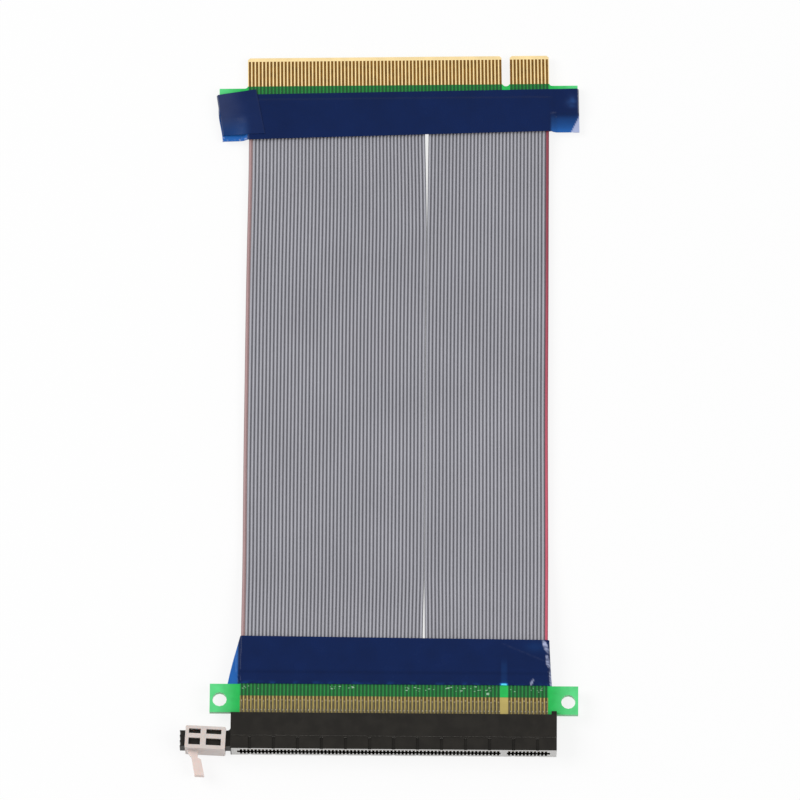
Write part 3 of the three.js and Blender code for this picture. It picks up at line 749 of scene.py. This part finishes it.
def patch(x, y, centre, half_width, half_height, lean=0.0):
    """1 inside a soft-edged oval, 0 outside it."""
    across = (x - centre[0] - lean * (y - centre[1])) / half_width
    return fade(np.hypot(across, (y - centre[1]) / half_height), 0.75, 1.05)


def glow_spot(x, y, centre, half_width, half_height):
    """1 at a centre, fading softly to 0 all round."""
    return np.exp(-(((x - centre[0]) / half_width) ** 2) - ((y - centre[1]) / half_height) ** 2)


def close_sleeve(x, y, front, back, thickness, values, back_start=0.0):
    """Points, faces and values of a closed film sleeve, open at both of its mouths. back_start moves
    the back's points up the tape."""
    up, across = x.shape
    back_y = y + back_start
    inset = np.linspace(-1, 1, across) * -thickness * 1.2
    rings = []
    for row in range(up):
        outside = [*zip(x[row], y[row], front[row]), *zip(x[row][::-1], back_y[row][::-1], -back[row][::-1])]
        inner_x = x[row] + inset
        inner_front = np.maximum(front[row] - thickness, 0.01)
        inner_back = np.maximum(back[row] - thickness, 0.01)
        inside = [
            *zip(inner_x, y[row], inner_front),
            *zip(inner_x[::-1], back_y[row][::-1], -inner_back[::-1]),
        ]
        rings.append((outside, inside))
    around = 2 * across
    points = [p for outside, _ in rings for p in outside] + [p for _, inside in rings for p in inside]
    shell = up * around
    outer_faces = tube_faces(up, around)
    inner_faces = [tuple(shell + i for i in reversed(f)) for f in outer_faces]
    rims = []
    for k in range(around):
        after = (k + 1) % around
        rims.append((k, shell + k, shell + after, after))
        last = (up - 1) * around
        rims.append((last + k, last + after, shell + last + after, shell + last + k))
    numbers = {}
    for label, grid in values.items():
        loop = np.concatenate([np.concatenate([grid[row], grid[row][::-1]]) for row in range(up)])
        numbers[label] = np.concatenate([loop, loop])
    return points, [tuple(reversed(f)) for f in outer_faces + inner_faces + rims], numbers


def add_film(name, points, faces, material, values):
    return add_piece(name, points, faces, [material], None, values, 60.0)


def build_upper_tape(settings, material):
    side = UPPER_HALF
    x, y = film_grid(
        lambda v: -side + 1.1 * fade(v, 0.0, 0.65),
        lambda v: side + 0 * v,
        lambda u: -7.55 + 2.0 * np.minimum(u, 0.92),
        lambda u: 5.9 + 0.95 * u,
    )
    board = smooth(y, -1.1, -0.1) * smooth(side - np.abs(x), 0.0, 0.25)
    hump = smooth(TAB_HALF + 2.2 - np.abs(x), 0.0, 2.6) * fade(y, 3.8, 5.0)
    cover = PRESSED_HALF + (BOARD_COVER - PRESSED_HALF) * board
    cover = cover + (HUMP_COVER - cover) * hump
    wires = 0.02 * hump * np.cos(2 * np.pi * (x - ROW_START) / PITCH) * fade(y, -2.0, 0.0)
    folds = (
        crease(x, y, (20, 3.8), (40, 2.3), 0.35)
        + crease(x, y, (-30, 4.3), (-6, 0.8), 0.3)
        + crease(x, y, (24, 5.2), (39, 4.3), 0.25)
        + crease(x, y, (-12, -5.7), (6, -2.7), 0.25)
    )
    front = cover + wires + FILM_RELIEF * ripple(x, y, 3.1) + FILM_RELIEF * folds
    back = cover + wires + FILM_RELIEF * ripple(x, y, 7.7)
    # Painted backlight beside the board and over the bubbles, and painted sheen on the right edge, the
    # bubbles, the corner and the specks on the left.
    beside = smooth(np.abs(x), TAB_HALF - 0.2, TAB_HALF + 0.8)
    through = beside * (
        0.3 * fade(y, -2.4, 0.6) + 0.16 * fade(y, -5.0, -2.0)
        + 0.16 * fade(y, -5.8, -4.0) + 0.2 * smooth(-x, 0.0, 1.0)
    )
    mottled = 0.6 + 0.4 * smooth(ripple(x, y, 1.3, 0.6), -0.4, 0.4)
    bubbles = glow_spot(x, y, (48.4, 2.9), 1.7, 1.9) * mottled
    through = through + 0.3 * bubbles
    pale_sheen = 0.04 * smooth(np.abs(x), side - 0.8, side) * beside + 0.02 * bubbles
    specks = smooth(ripple(x, y, 8.8, 1.7), 0.3, 0.5) * smooth(-x, TAB_HALF, TAB_HALF + 0.5)
    specks = specks * fade(y, -6.3, -6.0)
    corner = smooth(x - 0.51 * y, 50.8, 51.0) * fade(y, -1.1, -0.9)
    pale_sheen = np.maximum(pale_sheen, np.maximum(0.85 * corner, 0.6 * specks))
    back_start = 1.3 * fade(y, -7.3, -3.0) * smooth(side - np.abs(x), 1.0, 6.0)
    points, faces, values = close_sleeve(
        x, y, front, back, settings.thickness / MM, {"through": through, "pale_sheen": pale_sheen}, back_start,
    )
    piece = add_film("wound_tape_upper", edge_place(points), faces, material, values)
    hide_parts("upper_tape")


def sheet_solid(x, y, top, thickness, values):
    """Points, faces and values of a thin closed sheet with a grid on top and its copy below."""
    up, across = x.shape
    upper = np.stack([x.ravel(), y.ravel(), top.ravel()], axis=1)
    lower = upper - (0, 0, thickness)
    count = up * across
    faces = []
    for r in range(up - 1):
        for c in range(across - 1):
            a = r * across + c
            quad = (a, a + 1, a + across + 1, a + across)
            faces.append(quad)
            faces.append(tuple(count + i for i in reversed(quad)))
    border = [*range(across)] + [r * across + across - 1 for r in range(1, up)]
    border += [(up - 1) * across + c for c in range(across - 2, -1, -1)]
    border += [r * across for r in range(up - 2, 0, -1)]
    for a, b in zip(border, border[1:] + border[:1]):
        faces.append((b, a, count + a, count + b))
    numbers = {label: np.concatenate([grid.ravel(), grid.ravel()]) for label, grid in values.items()}
    return np.concatenate([upper, lower]), faces, numbers


def build_tape_flap(settings, material):
    """Free end of the upper tape, folded over the left end of the board onto its front."""
    side = UPPER_HALF
    x, y = film_grid(
        lambda v: -side + 1.15 - 1.65 * v,
        lambda v: -37.4 - 2.4 * v,
        lambda u: -5.95 + 0.15 * u,
        lambda u: 5.8 + 1.6 * u,
    )
    board = smooth(y, -1.1, -0.1)
    hump = smooth(TAB_HALF + 5.0 - np.abs(x), 0.0, 6.0) * fade(y, 3.0, 6.0)
    cover = FLAP_FOOT + (BOARD_COVER + FLAP_LIFT - FLAP_FOOT) * board
    cover = cover + (HUMP_COVER + FLAP_HUMP_LIFT - cover) * hump
    edge = fade(x + side - 0.3 + 0.13 * y, 0.0, 0.35)
    top = cover * (1 - 0.75 * edge) + 0.06 * ripple(x, y, 5.2) + 0.05
    top = top + 0.08 * smooth(y, 5.0, 7.0)
    # Painted backlight near the board's end, and a faint painted sheen that is stronger to the left.
    through = 0.04 + 0.2 * fade(y, -5.6, 2.0) * smooth(np.abs(x), TAB_HALF - 1.5, TAB_HALF + 1.5)
    left_share = fade(x, -side + 0.4, -side + 8.0)
    pale_sheen = 0.006 + 0.045 * left_share * smooth(y, -6.0, -1.0)
    seam = smooth(x + 0.19 * y, -38.9, -38.5)
    pale_sheen = pale_sheen * (1 - seam) + 0.02 * seam
    points, faces, values = sheet_solid(
        x, y, top, settings.thickness / MM * 0.8, {"through": through * (1 - seam), "pale_sheen": pale_sheen},
    )
    piece = add_film("wound_tape_flap", edge_place(points), faces, material, values)
    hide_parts("upper_tape")


def build_lower_tape(settings, material):
    foot = EAR_TOP + 0.12
    head = EAR_TOP + 13.1
    side = TAB_HALF + 0.3
    left_side = TAB_HALF + 0.05
    x, y = film_grid(
        lambda v: -left_side - 3.35 * ((1 - v) + 0.25 * v * (1 - v)),
        lambda v: side + 0.75 * (1 - v) ** 1.3,
        lambda u: foot + 0 * u,
        lambda u: head + 0.35 - 0.6 * u,
    )
    board = smooth(side + 0.15 - np.abs(x), 0.0, 0.35) * fade(y, TONGUE_END, TONGUE_END + 1)
    hump = smooth(side + 1.0 - np.abs(x), 0.0, 1.6) * smooth(y, TONGUE_END - 5.0, TONGUE_END - 3.8)
    cover = PRESSED_HALF + (BOARD_COVER - PRESSED_HALF) * board
    cover = cover + (HUMP_COVER - cover) * hump
    wires = 0.02 * hump * np.cos(2 * np.pi * (x - ROW_START) / PITCH) * smooth(y, TONGUE_END, TONGUE_END + 2)
    folds = (
        crease(x, y, (29.6, head - 1.4), (41.5, head - 6.4), 0.3)
        + crease(x, y, (33.0, head - 2.0), (42.0, head - 3.6), 0.25)
        + crease(x, y, (-38, head - 1), (-30, foot + 3), 0.4)
        + crease(x, y, (-8, head - 2), (4, foot + 2), 0.3)
    )
    front = cover + wires + FILM_RELIEF * ripple(x, y, 11.4) + FILM_RELIEF * folds
    back = cover + wires + FILM_RELIEF * ripple(x, y, 13.9)
    # Painted backlight beyond the board's left end and round the key, a painted glint over the key notch,
    # painted light at the foot, and painted sheen on the creases, patches and right edge.
    through = 0.95 * smooth(-x, TAB_HALF + 0.3, TAB_HALF + 1.1)
    key_band = smooth(x, KEY_X - 1.2, KEY_X - 0.6) * fade(x, KEY_X + 0.6, KEY_X + 1.2)
    through = through + key_band * (
        0.16 * fade(y, EAR_TOP + 5, EAR_TOP + 9) + 1.6 * fade(y, EAR_TOP + 0.45, EAR_TOP + 0.6)
    )
    low_light = 0.2 * fade(y, foot + 0.2, foot + 1.4) * smooth(ripple(x, y, 2.2, 0.5), -0.2, 0.4)
    through = through + low_light
    pale_sheen = (
        0.7 * patch(x, y, (41.3, head - 2.1), 0.7, 2.1, -0.35)
        + 0.7 * patch(x, y, (41.9, head - 6.3), 0.55, 1.9, -0.12)
        + 0.8 * patch(x, y, (37.6, foot + 0.9), 0.35, 1.0, 0.3)
        + 0.8 * smooth(x, side + 0.05, side + 0.2) * fade(y, head - 8.5, head - 6.5)
        + 0.02 * crease(x, y, (29.6, head - 1.4), (41.5, head - 6.4), 0.2)
    )
    through = through + 0.16 * glow_spot(x, y, (38.6, head - 2.2), 4.0, 2.0)
    ragged = 0.35 + 0.9 * smooth(ripple(x, y, 6.6, 1.6), -0.4, 0.4)
    pale_sheen = np.clip(pale_sheen * ragged, 0, 0.95)
    points, faces, values = close_sleeve(
        x, y, front, back, settings.thickness / MM, {"through": through, "pale_sheen": pale_sheen},
    )
    points = np.array(points) + (0, 0, SLOT_PLANE)
    piece = add_film("wound_tape_lower", slot_place(points), faces, material, values)
    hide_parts("lower_tape")


# Contacts of the slot
CONTACT_WIDTH = 0.44
CONTACT_THICKNESS = 0.2
TAIL_END = HOUSING_BACK + 3.4
PAD_WIDTH = 0.64


def contact_route():
    """Middle line of one contact as [y, z] from the board's mid-plane, from its tail to its lip."""
    seat = BOARD_HALF + 0.02 + CONTACT_THICKNESS / 2
    return [
        (TAIL_END, seat - 0.02), (TAIL_END - 0.3, seat + 0.03), (HOUSING_BACK + 1.2, seat + 0.03),
        (HOUSING_BACK + 0.6, seat + 0.12), (HOUSING_BACK + 0.15, seat + 0.18),
        (HOUSING_BACK - 0.6, seat + 0.04), (8.6, seat), (7.0, 0.86), (5.2, 0.78), (3.9, 0.75),
        (3.2, 0.76), (2.5, 0.92), (1.7, 1.28), (0.95, 1.64),
    ]


def rounded_section(width, thickness, corner):
    """Eight points of a rectangle with cut corners, about its middle."""
    w, t = width / 2, thickness / 2
    return [
        (-w, -t + corner), (-w, t - corner), (-w + corner, t), (w - corner, t),
        (w, t - corner), (w, -t + corner), (w - corner, -t), (-w + corner, -t),
    ]


def build_contacts(name, face, material):
    route = contact_route()
    section = rounded_section(CONTACT_WIDTH, CONTACT_THICKNESS, 0.05)
    around = len(section)
    points, faces = [], []
    for x in contact_places():
        base = len(points)
        for i, (y, z) in enumerate(route):
            before, after = route[max(i - 1, 0)], route[min(i + 1, len(route) - 1)]
            run = Vector((after[0] - before[0], after[1] - before[1])).normalized()
            for across, lift in section:
                points.append((x + across, y - run.y * lift, SLOT_PLANE + face * (z + run.x * lift)))
        body = tube_faces(len(route), around) + [tuple(range(around))[::-1]]
        last = (len(route) - 1) * around
        body.append(tuple(last + k for k in range(around)))
        faces += [tuple(base + i for i in (f if face > 0 else reversed(f))) for f in body]
    piece = add_piece(name, slot_place(points), faces, [material], sharp=50.0)
    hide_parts("slot_contacts_front" if face > 0 else "slot_contacts_back")


def dome(centre, half_x, half_y, height, face, rings=3, around=10, jitter=None):
    """Points and faces of one low rounded mound on a face of the slot board."""
    x, y, z = centre
    points = []
    for r in range(rings):
        share = r / rings
        reach = math.cos(share * math.pi / 2)
        for k in range(around):
            turn = 2 * math.pi * k / around
            wobble = 1 + (jitter[k] if jitter else 0)
            points.append((
                x + half_x * reach * wobble * math.cos(turn), y + half_y * reach * wobble * math.sin(turn),
                z + face * height * math.sin(share * math.pi / 2),
            ))
    points.append((x, y, z + face * height))
    faces = tube_faces(rings, around)
    top = len(points) - 1
    start = (rings - 1) * around
    faces += [(start + k, start + (k + 1) % around, top) for k in range(around)]
    faces.append(tuple(range(around))[::-1])
    return points, faces if face > 0 else [tuple(reversed(f)) for f in faces]


def gather(shapes):
    """One list of points and one of faces from many shapes."""
    points, faces = [], []
    for shape_points, shape_faces in shapes:
        base = len(points)
        points += shape_points
        faces += [tuple(base + i for i in f) for f in shape_faces]
    return points, faces


def pad_shape(x, face):
    """One copper pad under a contact's tail, with its root under the solder mask."""
    z = SLOT_PLANE + face * BOARD_HALF
    half = PAD_WIDTH / 2
    low, high = HOUSING_BACK + 0.05, PAD_TOP + 0.4
    section = [(low, 0.0), (high, 0.0), (high, 0.045), (high - 0.05, PAD_HEIGHT), (low, PAD_HEIGHT)]
    points = [(x + side * half, y, z + face * lift) for side in (-1, 1) for y, lift in section]
    count = len(section)
    faces = [tuple(range(count)), tuple(range(2 * count - 1, count - 1, -1))]
    faces += [(k, count + k, count + (k + 1) % count, (k + 1) % count) for k in range(count)]
    return points, faces if face > 0 else [tuple(reversed(f)) for f in faces]


def build_pads_and_solder(face, copper, solder, bright):
    """Pads, a mound of solder on the end of each tail and a fillet beside the housing, near-white as a
    painted highlight.
    """
    side = "front" if face > 0 else "back"
    rng = random.Random(41 + face)
    pads = gather(pad_shape(x, face) for x in contact_places())
    piece = add_piece(f"slot_pads_{side}", slot_place(pads[0]), pads[1], [copper], sharp=30.0)
    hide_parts(f"slot_contacts_{side}")
    mounds, fillets = [], []
    z = SLOT_PLANE + face * (BOARD_HALF + PAD_HEIGHT)
    for i, x in enumerate(contact_places()):
        stagger = 0.16 if i % 2 else -0.12
        y = TAIL_END + stagger + rng.uniform(-0.1, 0.1)
        mounds.append(dome((x + rng.uniform(-0.05, 0.05), y, z), 0.27, 0.36, 0.28, face))
        fillets.append(dome((x + 0.2, HOUSING_BACK + 0.75, z), 0.19, 0.2, 0.2, face, 2, 8))
    for name, shapes, finish in (("tail_solder", mounds, solder), ("solder_fillets", fillets, bright)):
        points, faces = gather(shapes)
        piece = add_piece(f"{name}_{side}", slot_place(points), faces, [finish], sharp=70.0)
        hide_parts(f"slot_contacts_{side}")


# Ranges along the slot board where flux dried beside the tape, and how many flecks each has
FLUX_RANGES = ((-41.5, -36, 7), (-19, -11, 12), (3, 12, 14), (14, 28, 22), (31.5, 41, 9))


def build_flux(material):
    rng = random.Random(7)
    z = SLOT_PLANE + BOARD_HALF + MASK_HEIGHT
    flecks = []
    for start, end, count in FLUX_RANGES:
        for _ in range(count):
            x = rng.uniform(start, end)
            y = EAR_TOP - rng.triangular(0.35, 2.2, 0.5)
            jitter = [rng.uniform(-0.35, 0.35) for _ in range(10)]
            size = rng.uniform(0.08, 0.22)
            flecks.append(dome((x, y, z), size * rng.uniform(1.0, 2.2), size * 0.7, 0.05, 1, 2, 10, jitter))
    flecks.append(dome((25.6, EAR_TOP - 2.3, z), 0.45, 0.4, 0.08, 1, 3, 10, [0.1, -0.2] * 5))
    points, faces = gather(flecks)
    add_piece("dried_flux", slot_place(points), faces, [material], sharp=60.0)


class RISER_OT_boards(bpy.types.Operator):
    """Finish both boards, their solder mask and the card-edge fingers"""

    bl_idname = "riser.boards"
    bl_label = "Boards"

    def execute(self, context):
        settings = context.scene.riser_boards
        edge_origin = tuple(edge_place([(0, 0, 0)])[0])
        # The card edge's laminate glows a little, a painted backlight.
        give_material("edge_board", laminate_material("edge_laminate", settings.laminate, 0.22))
        # The slot board's laminate takes the darker copy, painted shade between the pads.
        slot_laminate = laminate_material("slot_laminate", settings.laminate_in_shade, 0.0, EAR_LAMINATE)
        give_material("slot_board", slot_laminate)
        edge_mask = mask_material("edge_solder_mask", settings, edge_origin, EDGE_TURN, 9.0)
        slot_mask = mask_material("slot_solder_mask", settings, SLOT_ORIGIN, 0.0, 7.0)
        gold = metal_material("gold_fingers", settings.gold, 0.34, 0.5, 0.8)
        solder = metal_material("wire_solder", settings.tin, 0.3, 1.2)
        for side in ("front", "back"):
            give_material(f"edge_mask_{side}", edge_mask)
            give_material(f"slot_mask_{side}", slot_mask)
            give_material(f"edge_fingers_{side}", gold)
            give_material(f"upper_wire_ends_{side}", solder)
            give_material(f"lower_wire_ends_{side}", solder)
        return {"FINISHED"}


class RISER_OT_contacts(bpy.types.Operator):
    """Make the slot's contacts, their pads and solder, and the dried flux"""

    bl_idname = "riser.contacts"
    bl_label = "Contacts"

    def execute(self, context):
        settings = context.scene.riser_boards
        # The contacts are darkened outside the housing, a painted shade on their tails.
        tinned = metal_material("tinned_contacts", settings.tin, 0.4, 1.0, 0.85, 0.17)
        # The pads' dark copper is a painted dark reflection.
        copper = metal_material("pad_copper", SHADED_PAD_COPPER, 0.5, 0.8, 0.6)
        solder = metal_material("tail_solder", TAIL_SOLDER, 0.4, 1.4, 0.8)
        # Near-white fillets beside the housing, a painted highlight.
        bright = metal_material("bright_solder", SOLDER_HIGHLIGHT, 0.3, 1.4, 0.5)
        for side, face in (("front", 1), ("back", -1)):
            build_contacts(f"sprung_contacts_{side}", face, tinned)
            build_pads_and_solder(face, copper, solder, bright)
        build_flux(flux_material())
        return {"FINISHED"}


class RISER_OT_ribbons(bpy.types.Operator):
    """Make the four ribbons with every wire round on both faces"""

    bl_idname = "riser.ribbons"
    bl_label = "Ribbons"

    def execute(self, context):
        settings = context.scene.riser_ribbons
        groove_shade = settings.groove_shade
        # Darker copies of the edge wires' colours, painted shade in their grooves.
        red_groove_shade = tuple(channel * 0.5 for channel in settings.marked_wire)
        faded_groove_shade = tuple(channel * 0.6 for channel in settings.first_wire)
        materials = [
            insulation_material("grey_insulation", settings.insulation, groove_shade),
            insulation_material("faded_insulation", settings.first_wire, faded_groove_shade),
            insulation_material("red_insulation", settings.marked_wire, red_groove_shade, 0.5),
        ]
        for side, face in (("front", 1), ("back", -1)):
            build_ribbon(f"wired_ribbon_{side}_wide", 0, WIDE_WIRES, face, settings, materials)
            build_ribbon(
                f"wired_ribbon_{side}_narrow", WIDE_WIRES, ROW_POSITIONS, face, settings, materials,
            )
        return {"FINISHED"}


class RISER_OT_tapes(bpy.types.Operator):
    """Wind the blue film round both solder zones"""

    bl_idname = "riser.tapes"
    bl_label = "Tapes"

    def execute(self, context):
        settings = context.scene.riser_tapes
        material = film_material(settings)
        build_upper_tape(settings, material)
        build_tape_flap(settings, material)
        build_lower_tape(settings, material)
        return {"FINISHED"}


class RISER_OT_mouldings(bpy.types.Operator):
    """Finish the slot housing and the retention latch"""

    bl_idname = "riser.mouldings"
    bl_label = "Mouldings"

    def execute(self, context):
        settings = context.scene.riser_mouldings
        give_material("slot_housing", housing_material(settings))
        give_material("retention_latch", latch_material(settings))
        round_edges("slot_housing", settings.edge_radius)
        round_edges("retention_latch", settings.edge_radius * 2)
        return {"FINISHED"}


def stage_material():
    """White for the camera and for reflections. A share of it is lit, so that it shows the shadow."""
    material = bpy.data.materials.new("stage_white")
    material.use_nodes = True
    graph = Graph(material.node_tree)
    graph.tree.nodes.clear()
    lit = graph.node("ShaderNodeBsdfDiffuse", {"Color": (0.9, 0.9, 0.9, 1)})
    white = graph.node("ShaderNodeEmission", {"Color": (1, 1, 1, 1), "Strength": 1.0})
    share = graph.math("MULTIPLY", seen_directly(graph), 0.84)
    mixed = graph.node("ShaderNodeMixShader", {0: share, 1: lit.outputs[0], 2: white.outputs[0]})
    graph.node("ShaderNodeOutputMaterial", {"Surface": mixed.outputs[0]})
    return material


def seen_directly(graph):
    """1 for what the camera, a reflection or glass sees, 0 for light that falls on a surface."""
    rays = graph.node("ShaderNodeLightPath").outputs
    reflected = graph.math("MAXIMUM", rays["Is Glossy Ray"], rays["Is Transmission Ray"])
    return graph.math("MAXIMUM", rays["Is Camera Ray"], reflected)


def add_floor():
    half = 3.0
    mesh = bpy.data.meshes.new("stage_floor")
    height = -0.05 * MM
    corners = [(-half, -half, height), (half, -half, height), (half, half, height), (-half, half, height)]
    mesh.from_pydata(corners, [], [(0, 1, 2, 3)])
    mesh.materials.append(stage_material())
    floor = bpy.data.objects.new("stage_floor", mesh)
    bpy.context.scene.collection.objects.link(floor)


def add_world(level):
    world = bpy.data.worlds.new("even_white")
    bpy.context.scene.world = world
    world.use_nodes = True
    graph = Graph(world.node_tree)
    graph.tree.nodes.clear()
    strength = graph.span(seen_directly(graph), level, 1.0)
    light = graph.node("ShaderNodeBackground", {"Color": (1, 1, 1, 1), "Strength": strength})
    graph.node("ShaderNodeOutputWorld", {"Surface": light.outputs[0]})


def add_lamp(name, place, size, power):
    """A soft square lamp that looks at the origin."""
    data = bpy.data.lights.new(name, "AREA")
    data.shape = "SQUARE"
    data.size = size
    data.energy = power
    lamp = bpy.data.objects.new(name, data)
    lamp.location = place
    lamp.rotation_euler = (-Vector(place)).to_track_quat("-Z", "Y").to_euler()
    bpy.context.scene.collection.objects.link(lamp)


# What the picture's middle looks at, in the slot's frame
AIM = (0.98, 100.31, SLOT_PLANE)


def add_camera(settings):
    data = bpy.data.cameras.new("camera")
    data.lens = settings.lens
    data.sensor_width = 36
    data.clip_start = 0.1
    data.clip_end = 20
    camera = bpy.data.objects.new("camera", data)
    aim = Vector(slot_place([AIM])[0])
    turn = Matrix.Rotation(settings.turn, 3, "Z") @ Matrix.Rotation(settings.tilt, 3, "X")
    camera.location = aim + turn @ Vector((0, 0, settings.distance))
    camera.rotation_euler = turn.to_euler()
    bpy.context.scene.collection.objects.link(camera)
    bpy.context.scene.camera = camera


class RISER_OT_stage(bpy.types.Operator):
    """Set up the white floor, the soft lamps and the camera"""

    bl_idname = "riser.stage"
    bl_label = "Stage"

    def execute(self, context):
        settings = context.scene.riser_stage
        context.scene.view_settings.view_transform = "Standard"
        add_world(settings.world_level)
        add_floor()
        add_lamp("left_lamp", (-1.1, 0.25, 1.1), 0.9, 13.0 * settings.lamp_level)
        add_lamp("right_lamp", (1.0, -0.35, 1.2), 0.9, 8.0 * settings.lamp_level)
        add_camera(settings)
        return {"FINISHED"}


class RISER_PT_panel(bpy.types.Panel):
    bl_idname = "RISER_PT_panel"
    bl_label = "Riser cable"
    bl_space_type = "VIEW_3D"
    bl_region_type = "UI"
    bl_category = "Riser cable"

    def draw(self, context):
        for group, (operators, _) in GROUPS.items():
            box = self.layout.box()
            settings = getattr(context.scene, group)
            for name in settings.bl_rna.properties.keys():
                if name not in ("rna_type", "name"):
                    box.prop(settings, name)
            for operator in operators:
                box.operator(operator)


GROUPS = {
    "riser_boards": (("riser.boards", "riser.contacts"), BoardProperties),
    "riser_ribbons": (("riser.ribbons",), RibbonProperties),
    "riser_tapes": (("riser.tapes",), TapeProperties),
    "riser_mouldings": (("riser.mouldings",), MouldingProperties),
    "riser_stage": (("riser.stage",), StageProperties),
}

CLASSES = (
    RibbonProperties, TapeProperties, BoardProperties, MouldingProperties, StageProperties,
    RISER_OT_boards, RISER_OT_contacts, RISER_OT_ribbons, RISER_OT_tapes, RISER_OT_mouldings,
    RISER_OT_stage, RISER_PT_panel,
)


def register():
    for entry in CLASSES:
        bpy.utils.register_class(entry)
    for group, (_, properties) in GROUPS.items():
        setattr(bpy.types.Scene, group, PointerProperty(type=properties))


def unregister():
    for group in GROUPS:
        delattr(bpy.types.Scene, group)
    for entry in reversed(CLASSES):
        bpy.utils.unregister_class(entry)


def main():
    register()
    bpy.ops.riser.boards()
    bpy.ops.riser.contacts()
    bpy.ops.riser.ribbons()
    bpy.ops.riser.tapes()
    bpy.ops.riser.mouldings()
    bpy.ops.riser.stage()


if __name__ == "__main__":
    main()
